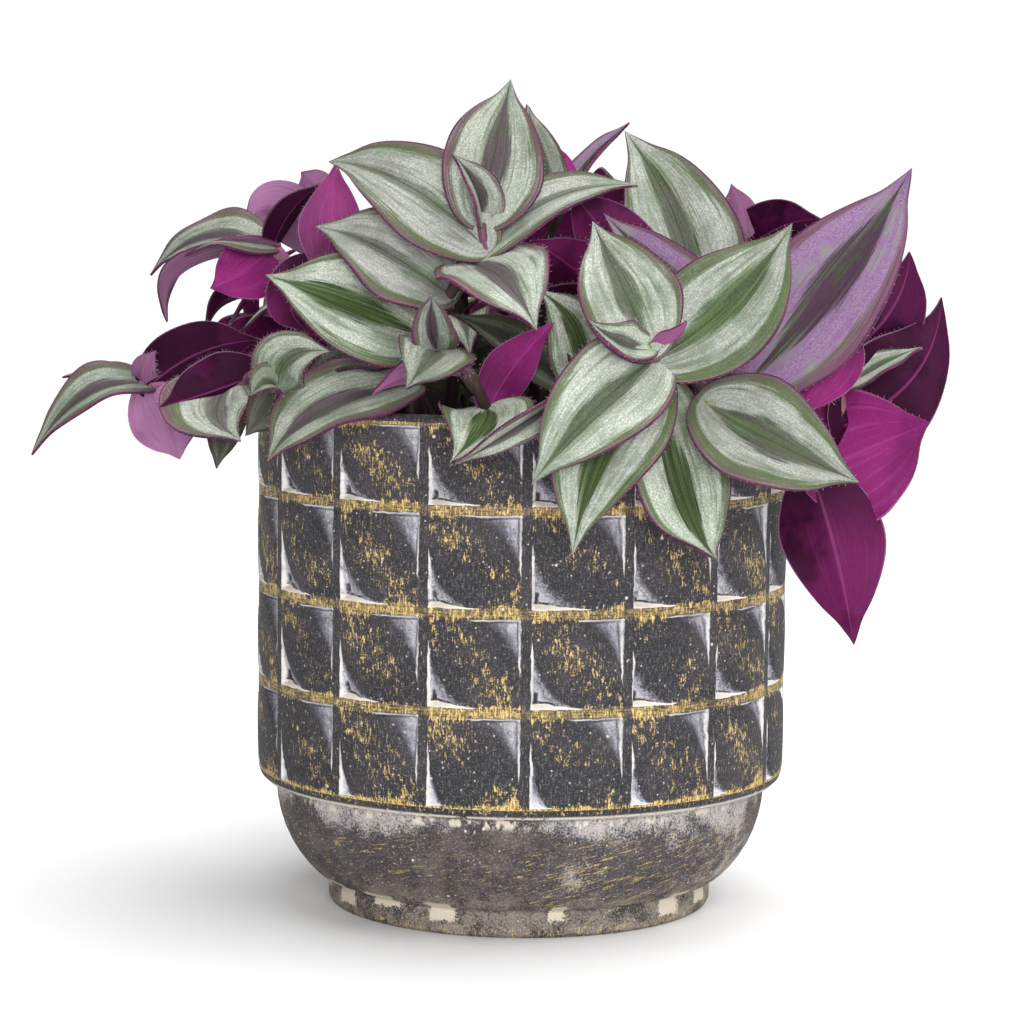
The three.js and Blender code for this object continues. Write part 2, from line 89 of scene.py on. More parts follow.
# ---------------------------------------------------------------- soil (mm)
SOIL_TOP = 121
SOIL_RADIUS = 64.4
SOIL_FLOOR = 104
SOIL_EDGE_DROP = 1.2  # how far its edge lies under its top
SOIL_DOME = 1.5  # how far its middle rises
SOIL_UNEVEN = (-0.5, 0.9)
BED_SIDES = 96
BED_RINGS = 16
BED_MIDDLE = 0.05  # the innermost ring, as a part of the one round it
CRUMBS = 900
CRUMB_MARGIN = 3  # how far crumbs stay from the edge
CRUMB_SIZE = (0.5, 1.7)
CRUMB_STRETCH = (0.6, 1.3)
CRUMB_SUNK = 0.6
CRUMB_LIFT = (-0.3, 0.5)

# ---------------------------------------------------------------- stems and leaves (mm)
HOLE_FLOOR = 106
STEM_RADIUS = 1.7
STEM_TIP_RADIUS = 1.2
STEM_FOOT = 3  # how far above the soil stems stand straight
STEM_STEPS = 6  # rings from one path point to the next
NODE_SWELLING = 0.3
NODE_REACH = 1.2  # rings on each side of a node over which it swells
STEM_END = [0.95, 0.85, 0.7, 0.45]  # how its last rings are drawn in
SHEATH_PLACES = (6.0, 4.6, 2.8, 1.4, 0.5)  # rings of a sheath, down the stem from its node
SHEATH_RADII = [1.6, 1.85, 2.0, 2.05, 1.75]
TUBE_SIDES = 12
TUBE_SEAM = 0.001  # vertices closer than this are merged
BLADE = 0.62  # thickness
BLADE_SEAM = 0.002
TIP_CURVE = 1.3  # above 1 a leaf's tip is drawn out
TIP_WAIST = {"depth": 0.16, "place": 0.88, "length": 0.07}  # the narrowing just before the tip
WIDEST_AT = 0.34  # a leaf is widest at a third of its length
ROW_SPACING = 1.35  # above 1 the rows of vertices lie closer at a leaf's base
MIDRIB_CUP = 0.35  # how much the two halves flatten towards the margin
CLASP = 0.055  # how far a leaf's base stands off its stem's middle, as a part of its width
CLASP_LENGTH = 0.3  # part of the leaf over which it comes back
OUTWARD_RISE = 25  # mm up that the outward way at a stem gets beside its way from the axis
LOBE = 0.13  # how far the base's lobes reach back, as a part of the width
LOBE_LENGTH = 0.28
SWAY = 0.035  # how much a leaf's width comes and goes along its length
SWAYS = 1.2  # how often
WAVE = (0.015, 0.045)  # how high its margin's waves are, as a part of the width
WAVES = 1.9
TONE_SPREAD = 0.07  # how much leaves of one tone differ
LEAF_ACROSS = 16
LEAF_ALONG = 34
LEAF_CREASE = 50  # degrees
HAIRY_MARGIN = (0.03, 0.97)  # the part of a leaf's margin that has hairs
HAIR_RADIUS = 0.035
HAIR_TIP = 0.15  # as a part of its radius at the root
HAIR_SHIFT = 0.12  # how far a root strays
HAIR_SPREAD = 0.28  # how far a hair leans from straight out
HAIR_LENGTH = (0.6, 1.25)  # shortest and longest, as parts of the usual length
EDGE_HAIR = 0.8
NODE_HAIR = 1.6
NODE_HAIRS = 10
NODE_HAIR_ROOT = 1.9  # from the stem's middle

# Each leafy stem as it grows: its name, its hole in the soil, the points that it
# passes above the soil and its leaves. A leaf is the path point that it grows from,
# its tip, how far the middle of its midrib is bowed, where its upper side looks, its
# width, the fold of each half in degrees, and its tone.
STEMS = [
    ("front_right", (24, -34), [
        (27, -52, 139), (32, -68, 142), (31, -75, 144), (31, -80, 148), (30, -83, 151)], [
        (1, (46, -92, 102), (0, 3, -8), (0.1, -0.8, 0.7), 25, 16, "green"),
        (2, (12, -88, 102), (-3, -4, 3), (0, -1, 0.35), 27, 16, "green"),
        (3, (2, -92, 119), (0, -3, 3), (0.1, -1, 0.45), 26, 16, "pale"),
        (3, (65, -62, 181), (2, -3, -2), (-0.15, -1, 0.2), 29, 14, "fresh"),
        (4, (16, -74, 181), (0, -2, 0), (0.1, -1, 0.05), 25, 18, "pale"),
        (4, (15, -93, 158), (0, 0, -2), (0.1, -1, 0.55), 12, 36, "lip"),
        (4, (38, -87, 158), (1, 0, -1), (-0.5, 0.7, 0.3), 6, 30, "lip"),
    ]),
    ("right_low", (38, -16), [
        (42, -40, 140), (44, -64, 139), (44, -74, 137), (55, -64, 142), (68, -60, 149),
        (79, -55, 154)], [
        (2, (81, -76, 119), (-1, -4, 0), (0.15, -1, 0.4), 29, 14, "olive"),
        (3, (96, -45, 195), (2, -3, 0), (-0.15, -1, 0.25), 31, 14, "violet"),
        (5, (66, -62, 134), (1, 1, 0), (0.15, 1, 0.1), 17, 15, "under"),
        (5, (84, -58, 157), (0, 0, 1), (0, -0.5, 1), 5, 40, "bud"),
        (4, (87, -46, 158), (0, 0, 2), (-0.3, -1, 0.3), 12, 15, "under"),
    ]),
    ("right_drape", (52, -2), [
        (62, -14, 139), (74, -30, 143), (80, -37, 139), (79, -41, 130), (73, -42, 118)], [
        (1, (98, -26, 174), (6, 2, -2), (-0.3, 1, 0.1), 30, 14, "deep"),
        (2, (101, -34, 150), (0, 0, 1), (0, -0.3, 1), 13, 10, "pale"),
        (3, (108, -14, 162), (6, 0, -4), (-0.6, 1, -0.1), 30, 12, "deep"),
        (4, (101, -52, 132), (0, 2, 0), (-0.2, 1, -0.25), 35, 12, "under"),
        (4, (84, -44, 75), (1, -2, 0), (0.1, 1, 0.1), 27, 18, "shaded_wine"),
    ]),
    ("centre_right", (14, -12), [
        (18, -22, 146), (24, -30, 158), (34, -33, 162), (44, -34, 160), (47, -44, 158)], [
        (3, (25, -25, 204), (3, -2, 1), (0, -1, 0.15), 30, 14, "pale"),
        (4, (19, -56, 183), (0, 0, -1), (0.1, -1, 0.5), 18, 14, "violet"),
        (1, (1, -38, 176), (0, 0, 2), (0.2, 1, 0.3), 18, 12, "shaded_wine"),
        (2, (10, -38, 190), (0, 0, 0), (0, 1, 0.2), 20, 12, "shaded_wine"),
        (1, (3, -48, 164), (0, 0, 1), (0, 0.8, 0.4), 9, 12, "deep"),
    ]),
    ("centre_top", (-6, -14), [
        (-14, -32, 140), (-25, -48, 152), (-19, -51, 162), (-14, -53, 169), (-10, -54, 174),
        (-11, -53, 181)], [
        (1, (-64, -54, 167), (0, -3, 1), (-0.2, -0.9, 0.45), 29, 14, "green"),
        (2, (-52, -50, 179), (0, -2, 3), (-0.1, -0.8, 0.6), 26, 14, "silvery"),
        (3, (3, -80, 155), (0, -3, 5), (-0.1, -0.5, 1), 29, 12, "heart"),
        (3, (28, -44, 190), (-2, -1, 6), (-0.3, -0.8, 0.8), 18, 16, "silvery"),
        (4, (-49, -48, 195), (0, -2, 5), (0, -1, 0.35), 25, 14, "silvery"),
        (5, (-4, -42, 216), (0, -3, 0), (0.1, -1, 0.2), 26, 14, "heart"),
        (5, (-18, -58, 197), (2, -2, 0), (0.6, -0.8, 0), 13, 45, "young"),
    ]),
    ("centre_small", (-12, -38), [
        (-12, -54, 136), (-9, -68, 135), (-14, -72, 145), (-21, -72, 149)], [
        (1, (-17, -86, 124), (3, -3, 2), (-0.1, -0.8, 0.6), 24, 14, "green"),
        (1, (7, -58, 156), (-1, -2, 1), (-0.3, 1, 0.2), 13, 10, "under"),
        (3, (-28, -86, 141), (2, -3, 3), (0.1, -0.8, 0.7), 20, 14, "shaded"),
        (2, (-37, -74, 139), (0, 0, 3), (0.3, 0.6, 1), 12, 12, "violet"),
        (3, (-22, -76, 163), (-1, -3, 0), (0.2, -1, 0.2), 13, 35, "dusk"),
    ]),
    ("centre_mid", (6, -32), [
        (14, -50, 138), (8, -70, 138)], [
        (0, (3, -52, 164), (4, -1, 3), (0, -1, 0.1), 17, 14, "green"),
        (0, (-18, -56, 158), (0, 2, 2), (-0.4, -0.8, 0.5), 14, 35, "dark"),
        (1, (-16, -97, 124), (2, -8, 1), (0.1, -1, -0.3), 9, 30, "heart"),
    ]),
    ("left_front", (-24, -32), [
        (-28, -50, 139), (-33, -46, 145)], [
        (0, (-62, -72, 122), (-4, -3, 4), (-0.1, -0.7, 0.8), 25, 16, "dusk"),
        (1, (-55, -53, 142), (0, 0, 2), (-0.1, -0.5, 1), 17, 15, "dark"),
        (1, (-52, -42, 144), (0, 0, 2), (0, -0.2, 1), 10, 15, "dark"),
    ]),
    ("left_small", (-38, -24), [
        (-50, -40, 139), (-58, -50, 141), (-60, -65, 140)], [
        (2, (-47, -70, 149), (-3, -1, 3), (0, -1, 0.3), 16, 14, "shaded"),
        (2, (-66, -72, 138), (0, -1, 2), (-0.2, -1, 0.4), 10, 30, "shaded"),
        (1, (-69, -53, 127), (0, 0, 0), (0, -0.8, -0.3), 14, 14, "dull"),
    ]),
    ("left_mid", (-45, -14), [
        (-58, -24, 139), (-67, -38, 142), (-74, -38, 138)], [
        (1, (-91, -46, 134), (-1, 0, -1), (0, 1, 0.3), 18, 14, "deep"),
        (2, (-70, -54, 126), (-5, 0, 0), (-0.1, -0.7, 0.7), 28, 12, "flushed"),
        (2, (-77, -44, 118), (0, 0, 0), (0, -1, -0.3), 11, 14, "dull"),
    ]),
    ("left_trailing", (-48, -3), [
        (-60, -10, 141), (-76, -18, 144), (-90, -22, 140), (-97, -23, 137)], [
        (3, (-126, -30, 120), (0, -2, 7), (-0.1, -0.45, 0.9), 20, 14, "dusk"),
        (3, (-67, -30, 150), (-1, 0, 3), (0.1, 1, 0.2), 18, 14, "deep"),
        (3, (-88, -29, 119), (1, 0, 0), (0, 1, 0.3), 22, 14, "backlit"),
        (3, (-94, -28, 147), (-2, 0, 0), (0.3, 0.9, 0.2), 8, 20, "violet"),
        (3, (-121, -10, 139), (0, 2, 2), (0, -0.3, 1), 12, 16, "shaded_wine"),
    ]),
    ("left_upper", (-30, 2), [
        (-40, -6, 146), (-54, -16, 162), (-65, -22, 173)], [
        (2, (-97, -18, 166), (-1, -2, 6), (0, -0.5, 0.9), 20, 14, "dusk"),
        (2, (-92, -24, 154), (-9, 0, 4), (-0.4, 0.3, 0.9), 14, 20, "greyed"),
        (2, (-80, -32, 163), (0, 0, -1), (0, 1, 0.1), 17, 14, "under"),
        (2, (-52, -28, 190), (-2, 0, 1), (-0.7, 0.7, 0), 9, 20, "deep"),
        (1, (-82, -24, 152), (-6, 0, 5), (-0.2, 0.6, 0.8), 11, 20, "deep"),
        (1, (-76, -25, 153), (-3, 1, 4), (0, 0.4, 1), 8, 20, "deep"),
    ]),
    ("left_inner", (-22, -12), [
        (-34, -24, 146), (-45, -32, 158), (-50, -34, 169)], [
        (2, (-48, -31, 195), (0, -1, 0), (-0.1, 1, 0), 16, 12, "lit"),
        (2, (-54, -38, 152), (-7, 0, 0), (-0.1, 1, 0), 15, 12, "shaded_wine"),
    ]),
    ("left_back", (-34, 14), [
        (-44, 6, 150), (-54, 2, 172), (-52, 0, 181)], [
        (1, (-74, -6, 179), (-1, 0, 8), (0, 1, 0.3), 17, 14, "backlit"),
        (2, (-59, -4, 193), (0, 0, 2), (0, 1, 0.3), 12, 14, "backlit"),
    ]),
    ("centre_back", (2, 8), [
        (4, 4, 150), (6, -2, 172), (8, -6, 184)], [
        (2, (27, 2, 207), (0, 0, 1), (-0.3, -0.5, 0.8), 9, 40, "violet"),
        (0, (-32, 17, 136), (0, 2, -1), (0, -1, 0.2), 18, 12, "dark"),
        (2, (6, -4, 203), (0, 0, 0), (0, 1, 0), 14, 14, "under"),
        (2, (0, -10, 211), (0, 0, 0), (0, -1, 0.2), 12, 14, "pale"),
    ]),
    ("right_back", (36, 10), [
        (44, 2, 150), (52, -8, 168), (57, -14, 178)], [
        (1, (76, -24, 182), (0, 0, 4), (0, 1, 0.2), 18, 14, "deep"),
        (2, (53, -16, 191), (0, 0, 0), (0, 1, 0), 10, 14, "violet"),
    ]),
]

# Stems that end in an open rosette: name, root, the way the stem leans (0 is +X, 90 the
# back), reach and height of its end, how far the rosette is turned up, how far its
# leaves are turned round its middle, the length of its longest leaves.
ROSETTES = [
    ("back_right", (30, 30), 52, 84, 144, 20, -24, 47),
    ("back_left", (-26, 32), 126, 82, 148, 12, 14, 45),
    ("back", (2, 36), 90, 62, 166, 28, -8, 46),
    ("side_right", (50, 14), 16, 66, 152, 20, 12, 38),
    ("side_left", (-52, 16), 166, 72, 152, 20, -18, 36),
    ("top_right", (20, 18), 50, 32, 178, 38, 20, 40),
    ("top_left", (-14, 20), 142, 38, 176, 40, 0, 41),
    ("middle_right", (28, -4), 352, 24, 158, 80, 20, 26),
    ("middle_left", (-20, 4), 196, 17, 157, 80, 20, 29),
]
# Clock angle from straight up, the path point, the part of the longest leaf, the tone.
ROSETTE_LEAVES = [
    (150, 2, 1.04, "olive"), (-128, 3, 0.96, "green"), (84, 4, 0.88, "pale"),
    (-62, 5, 0.82, "green"), (22, 6, 0.68, "pale"), (176, 7, 0.4, "young"),
]
NODE_STEP = 3  # mm between two nodes of a rosette
ROSETTE_WIDTH = 0.58  # of a leaf, as a part of its length
ROSETTE_ARCH = 0.17  # how far a leaf arches outwards, as a part of its length
ROSETTE_DROOP = 0.3  # how far its tip hangs back
ROSETTE_REACH = 0.95  # how far its tip lies from the stem
ROSETTE_FOLD = 17  # degrees
ROSETTE_BENDS = (0.35, 0.72)  # path points on the way to the rosette, as parts of the way
UPTURNED = 30  # degrees; rosettes turned up less hang over the rim

# A leaf's tone: how violet it is, how purple its midrib band and margin are (0 is
# green), how unshaded it is (below 1 painted shade darkens it), how plain its midrib
# band, half the width of that band and the width of its margin as parts of half the
# blade, and how much light comes through (painted paler on the underside).
TONES = {
    "green": (0.06, 0.15, 1.0, 1.0, 0.25, 0.2, 0.0),
    "fresh": (0.06, 0.1, 0.72, 0.9, 0.22, 0.26, 0.0),
    "shaded": (0.1, 0.4, 0.66, 0.8, 0.22, 0.2, 0.0),
    "silvery": (0.2, 0.5, 0.88, 0.7, 0.1, 0.24, 0.0),
    "pale": (0.14, 0.45, 1.0, 0.85, 0.22, 0.18, 0.0),
    "heart": (0.1, 0.9, 0.88, 0.88, 0.26, 0.2, 0.0),
    "olive": (0.14, 0.55, 0.72, 0.9, 0.27, 0.3, 0.0),
    "violet": (0.95, 1.0, 0.9, 1.0, 0.28, 0.19, 0.1),
    "dusk": (0.12, 1.0, 0.66, 0.9, 0.26, 0.3, 0.2),
    "flushed": (0.2, 1.0, 0.85, 0.75, 0.2, 0.34, 0.4),
    "young": (0.2, 0.8, 0.85, 0.9, 0.34, 0.2, 0.0),
    "lip": (0.1, 0.8, 0.9, 0.8, 0.3, 0.2, 0.4),
    # Painted shade is strongest on dark, dull, shaded_wine and deep leaves.
    "dark": (0.2, 0.5, 0.1, 0.8, 0.4, 0.3, 0.0),
    "dull": (0.4, 0.6, 0.3, 0.5, 0.3, 0.3, 0.0),
    "bud": (1.0, 1.0, 0.9, 0.5, 0.3, 0.2, 0.6),
    "under": (0.3, 0.7, 1.0, 0.8, 0.2, 0.16, 0.0),
    "lit": (0.3, 0.7, 1.0, 0.8, 0.2, 0.16, 0.12),
    "shaded_wine": (0.3, 0.7, 0.45, 0.8, 0.2, 0.16, 0.0),
    "deep": (0.3, 0.7, 0.14, 0.8, 0.2, 0.16, 0.0),
    "greyed": (1.0, 1.0, 0.6, 0.8, 0.2, 0.16, 0.0),
    "backlit": (0.3, 0.8, 1.0, 0.6, 0.2, 0.14, 0.85),
}


# ---------------------------------------------------------------- meshes

def deselect_all():
    for piece in bpy.context.selected_objects:
        piece.select_set(False)


def activate(piece):
    deselect_all()
    piece.select_set(True)
    bpy.context.view_layer.objects.active = piece


def modified(piece, kind, **settings):
    """Adds a modifier with these settings and applies it."""
    activate(piece)
    bpy.ops.object.modifier_add(type=kind)
    modifier = piece.modifiers[-1]
    for setting, value in settings.items():
        setattr(modifier, setting, value)
    bpy.ops.object.modifier_apply(modifier=modifier.name)
    return piece


def grid_blank(name, across, along):
    """A flat sheet of rectangles, from -0.5 to 0.5 along X and Y."""
    deselect_all()
    bpy.ops.mesh.primitive_grid_add(x_subdivisions=across, y_subdivisions=along, size=1,
                                    location=(0, 0, 0))
    piece = bpy.context.object
    piece.name = name
    return piece


def places_of(piece):
    places = np.empty(len(piece.data.vertices) * 3)
    piece.data.vertices.foreach_get("co", places)
    return places.reshape(-1, 3)


def set_places(piece, places):
    piece.data.vertices.foreach_set("co", np.ascontiguousarray(places).ravel())
    piece.data.update()


def set_map(piece, name, values):
    """A UV map from one pair of values per vertex."""
    mesh = piece.data
    corners = np.empty(len(mesh.loops), dtype=int)
    mesh.loops.foreach_get("vertex_index", corners)
    layer = mesh.uv_layers.get(name) or mesh.uv_layers.new(name=name)
    layer.data.foreach_set("uv", values[corners].astype(np.float32).ravel())


def set_colour(piece, name, values):
    """Four numbers per vertex, read by the materials."""
    attribute = piece.data.attributes.new(name, "FLOAT_COLOR", "POINT")
    attribute.data.foreach_set("color", np.asarray(values, dtype=np.float32).ravel())


def copy_of(piece, name):
    copy = piece.copy()
    copy.data = piece.data.copy()
    copy.name = name
    bpy.context.scene.collection.objects.link(copy)
    return copy


def discard(piece):
    bpy.data.objects.remove(piece)


def joined(pieces, name):
    deselect_all()
    for piece in pieces:
        piece.select_set(True)
    bpy.context.view_layer.objects.active = pieces[0]
    if len(pieces) > 1:
        bpy.ops.object.join()
    piece = bpy.context.object
    piece.name = name
    return piece


def merged(piece, distance, outward=True):
    """Merges doubled vertices and, if outward, turns the faces out."""
    activate(piece)
    bpy.ops.object.mode_set(mode="EDIT")
    bpy.ops.mesh.select_all(action="SELECT")
    bpy.ops.mesh.remove_doubles(threshold=distance)
    if outward:
        bpy.ops.mesh.normals_make_consistent(inside=False)
    bpy.ops.object.mode_set(mode="OBJECT")
    return piece


def smoothed(piece, degrees):
    activate(piece)
    bpy.ops.object.shade_smooth_by_angle(angle=math.radians(degrees))
    return piece


def many_of(piece, name, matrices):
    """One mesh with a copy of the piece at each 4x4 matrix."""
    places = np.c_[places_of(piece), np.ones(len(piece.data.vertices))]
    faces = [list(face.vertices) for face in piece.data.polygons]
    count = len(places)
    all_places = np.concatenate([(matrix @ places.T).T[:, :3] for matrix in matrices])
    all_faces = [[v + k * count for v in face] for k in range(len(matrices)) for face in faces]
    mesh = bpy.data.meshes.new(name)
    mesh.from_pydata(all_places.tolist(), [], all_faces)
    result = bpy.data.objects.new(name, mesh)
    bpy.context.scene.collection.objects.link(result)
    return result


def use_materials(piece, *materials):
    piece.data.materials.clear()
    for material in materials:
        piece.data.materials.append(material)


def show_instead(piece, node):
    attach(piece, "root")
    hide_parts(node)


# ---------------------------------------------------------------- shader nodes

def srgb(code):
    """A screen colour such as #8A1C66 as the linear values that shaders use."""
    values = (int(code[k:k + 2], 16) / 255 for k in (1, 3, 5))
    return tuple(value / 12.92 if value <= 0.04045 else ((value + 0.055) / 1.055) ** 2.4
                 for value in values)


SEED_STEP = 37.0  # how far apart two seeds lie in the noise
FINE_GRAIN = 2300.0  # noise scale of the finest speckle


class Value:
    """A number, colour or direction that a shader works out, for formulas in plain signs."""

    def __init__(self, recipe, socket):
        self.recipe = recipe
        self.socket = socket

    def __add__(self, other):
        return self.recipe.math("ADD", self, other)

    def __radd__(self, other):
        return self.recipe.math("ADD", other, self)

    def __sub__(self, other):
        return self.recipe.math("SUBTRACT", self, other)

    def __rsub__(self, other):
        return self.recipe.math("SUBTRACT", other, self)

    def __mul__(self, other):
        return self.recipe.math("MULTIPLY", self, other)

    def __truediv__(self, other):
        return self.recipe.math("DIVIDE", self, other)

    def __pow__(self, power):
        return self.recipe.math("POWER", self, power)

    def __abs__(self):
        return self.recipe.math("ABSOLUTE", self)


class Recipe:
    """Adds nodes to a tree and joins them: an input is a number, a colour or a Value."""

    def __init__(self, tree):
        self.tree = tree

    def put(self, socket, value):
        if isinstance(value, Value):
            self.tree.links.new(value.socket, socket)
        elif isinstance(value, tuple) and socket.type == "RGBA":
            socket.default_value = (*value, 1)
        else:
            socket.default_value = value

    def node(self, kind, inputs=None, **settings):
        node = self.tree.nodes.new(kind)
        for setting, value in settings.items():
            setattr(node, setting, value)
        for name, value in (inputs or {}).items():
            self.put(node.inputs[name], value)
        return node

    def results(self, kind, outputs, inputs=None, **settings):
        """Adds a node and reads these of its outputs."""
        node = self.node(kind, inputs, **settings)
        return [Value(self, node.outputs[output]) for output in outputs]

    def result(self, kind, output, inputs=None, **settings):
        return self.results(kind, [output], inputs, **settings)[0]

    def math(self, operation, *values, clamp=False):
        inputs = dict(enumerate(values))
        return self.result("ShaderNodeMath", 0, inputs, operation=operation, use_clamp=clamp)

    def left_over(self, value):
        """What is left of 1, and never less than 0."""
        return self.math("SUBTRACT", 1.0, value, clamp=True)

    def most(self, first, second):
        return self.math("MAXIMUM", first, second)

    def least(self, first, second):
        return self.math("MINIMUM", first, second)

    def rise(self, value, low, high):
        """0 below low, 1 above high, smooth between; high below low turns it round."""
        inputs = {"Value": value, "From Min": low, "From Max": high}
        return self.result("ShaderNodeMapRange", 0, inputs, interpolation_type="SMOOTHSTEP")

    def between(self, value, low, high, soft):
        """1 where the value lies between low and high, with soft edges."""
        return self.rise(value, low - soft, low + soft) * self.rise(value, high + soft, high - soft)

    def mix(self, mask, first, second):
        """The first colour where the mask is 0 and the second where it is 1."""
        node = self.node("ShaderNodeMix", data_type="RGBA", clamp_factor=True)
        self.put(node.inputs["Factor"], mask)
        colours = [socket for socket in node.inputs if socket.type == "RGBA"]
        for socket, colour in zip(colours, (first, second)):
            self.put(socket, colour)
        return Value(self, [socket for socket in node.outputs if socket.type == "RGBA"][0])

    def vector(self, x, y, z):
        return self.result("ShaderNodeCombineXYZ", 0, {"X": x, "Y": y, "Z": z})

    def parts(self, vector):
        return self.results("ShaderNodeSeparateXYZ", "XYZ", {"Vector": vector})

    def object_place(self):
        return self.result("ShaderNodeTexCoord", "Object")

    def map(self, name):
        return self.result("ShaderNodeUVMap", "UV", uv_map=name)

    def attribute(self, name):
        """The four numbers that each vertex of the mesh has under this name."""
        colour, last = self.results("ShaderNodeAttribute", ["Color", "Alpha"], attribute_name=name)
        return (*self.results("ShaderNodeSeparateColor", range(3), {"Color": colour}), last)

    def noise(self, place, scale, detail=3.0, roughness=0.55):
        inputs = {"Vector": place, "Scale": scale, "Detail": detail, "Roughness": roughness}
        return self.result("ShaderNodeTexNoise", "Fac", inputs)

    def seen_directly(self):
        """1 where the camera looks straight at it, and 0 for light that it throws on others."""
        return self.result("ShaderNodeLightPath", "Is Camera Ray")

    def bump(self, height, distance, strength):
        inputs = {"Height": height, "Distance": distance, "Strength": strength}
        return self.result("ShaderNodeBump", "Normal", inputs)


def new_group(name, inputs, outputs):
    """A shader node group of plain numbers: its tree, recipe, input values and end sockets."""
    group = bpy.data.node_groups.new(name, "ShaderNodeTree")
    for label, value in inputs.items():
        socket = group.interface.new_socket(label, in_out="INPUT", socket_type="NodeSocketFloat")
        socket.default_value = value
    for label in outputs:
        group.interface.new_socket(label, in_out="OUTPUT", socket_type="NodeSocketFloat")
    recipe = Recipe(group)
    given = recipe.results("NodeGroupInput", inputs)
    return group, recipe, given, recipe.node("NodeGroupOutput").inputs


def streak_group():
    """Fine lines that run along: noise drawn out along one direction."""
    defaults = {"Across": 0.0, "Along": 0.0, "Fineness": 30.0, "Stretch": 12.0, "Seed": 0.0}
    group, recipe, given, end = new_group("streaks", defaults, ["Value"])
    across, along, fineness, stretch, seed = given
    place = recipe.vector(across * fineness, along * fineness / stretch, seed * SEED_STEP)
    recipe.put(end["Value"], recipe.noise(place, 1.0, detail=4.0, roughness=0.6))
    return group


def grain_group():
    """Fine speckle all over, and soft patches, both from the place on the object."""
    defaults = {"Fine": 1400.0, "Patch": 60.0}
    group, recipe, given, end = new_group("grain", defaults, ["Speckle", "Patches"])
    fine, patch = given
    place = recipe.object_place()
    recipe.put(end["Speckle"], recipe.noise(place, fine, detail=2.0, roughness=0.7))
    recipe.put(end["Patches"], recipe.noise(place, patch, detail=3.0, roughness=0.6))
    return group


STREAKS = streak_group()
GRAIN = grain_group()


def streaks(recipe, across, along, fineness, stretch, seed=0.0):
    """Lines drawn out along, as a value round 0.5."""
    inputs = {"Across": across, "Along": along, "Fineness": fineness, "Stretch": stretch, "Seed": seed}
    return recipe.result("ShaderNodeGroup", "Value", inputs, node_tree=STREAKS)


def grain_and_patches(recipe, fine, patch):
    """Speckle and soft patches, as two values round 0.5."""
    inputs = {"Fine": fine, "Patch": patch}
    return recipe.results("ShaderNodeGroup", ["Speckle", "Patches"], inputs, node_tree=GRAIN)


def new_material(name, **shader_values):
    """An empty material: its recipe and its shader, with plain values already set."""
    material = bpy.data.materials.new(name)
    material.use_nodes = True
    recipe = Recipe(material.node_tree)
    shader = material.node_tree.nodes["Principled BSDF"]
    for label, value in shader_values.items():
        recipe.put(shader.inputs[label.replace("_", " ")], value)
    return material, recipe, shader.inputs


# ---------------------------------------------------------------- pot

CHARCOAL = srgb("#2F2F34")
UMBER = srgb("#413D41")
BLACK = srgb("#141415")
GOLD = srgb("#A1833F")
PALE_GOLD = srgb("#F5D792")
SILVER = srgb("#D6D5DC")
CHALK = srgb("#EFEAE5")
SLATE = srgb("#5D5E69")
WORN_GREY = srgb("#CFCAC8")
CREAM = srgb("#E8DCCA")
DUSTY_GREY = srgb("#8C8686")
# painted shade, for the pot's inside
INSIDE_SHADE = srgb("#1B1715")
EARTH = srgb("#433F3F")
EARTH_LIGHT = srgb("#655D5A")
EARTH_BLUISH = srgb("#45434A")
EARTH_PALE = srgb("#A3978D")
EARTH_BLACK = srgb("#241F1C")
FOOT_GREY = srgb("#B9AEA2")

# Heights on the pot's map: 0 is the lowest rib, -1 lies MAP_STEP below it. The first of
# two is where a mark begins or is faintest, the second where it ends or is strongest.
BOWL_BEGINS = (-0.07, -0.11)
WORN_ZONE = (-0.55, -0.12)
FOOT_ZONE = (-0.85, -1.2)
STEP_LINE = (-0.115, -0.09)
STEP_SMEAR = (-0.24, -0.1)
STEP_SHADE = (-0.145, -0.13)
BLOCK_TOP = (-1.1, -1.14)
BLOCK_BOTTOM = -1.22
FOOT_GOLD = (-1.34, -1.4)
BLOCKS_PER_SQUARE = 1.1


def dip_node(recipe, u, v, reach_u, reach_v):
    """How deep a dip is at u and v from its corner: 1 at the corner, 0 at its edge."""
    u, v = recipe.most(u, NEARLY_NOTHING), recipe.most(v, NEARLY_NOTHING)
    span = ((u / reach_u) ** DIP_SHAPE + (v / reach_v) ** DIP_SHAPE) ** (1 / DIP_SHAPE)
    return recipe.left_over(span)


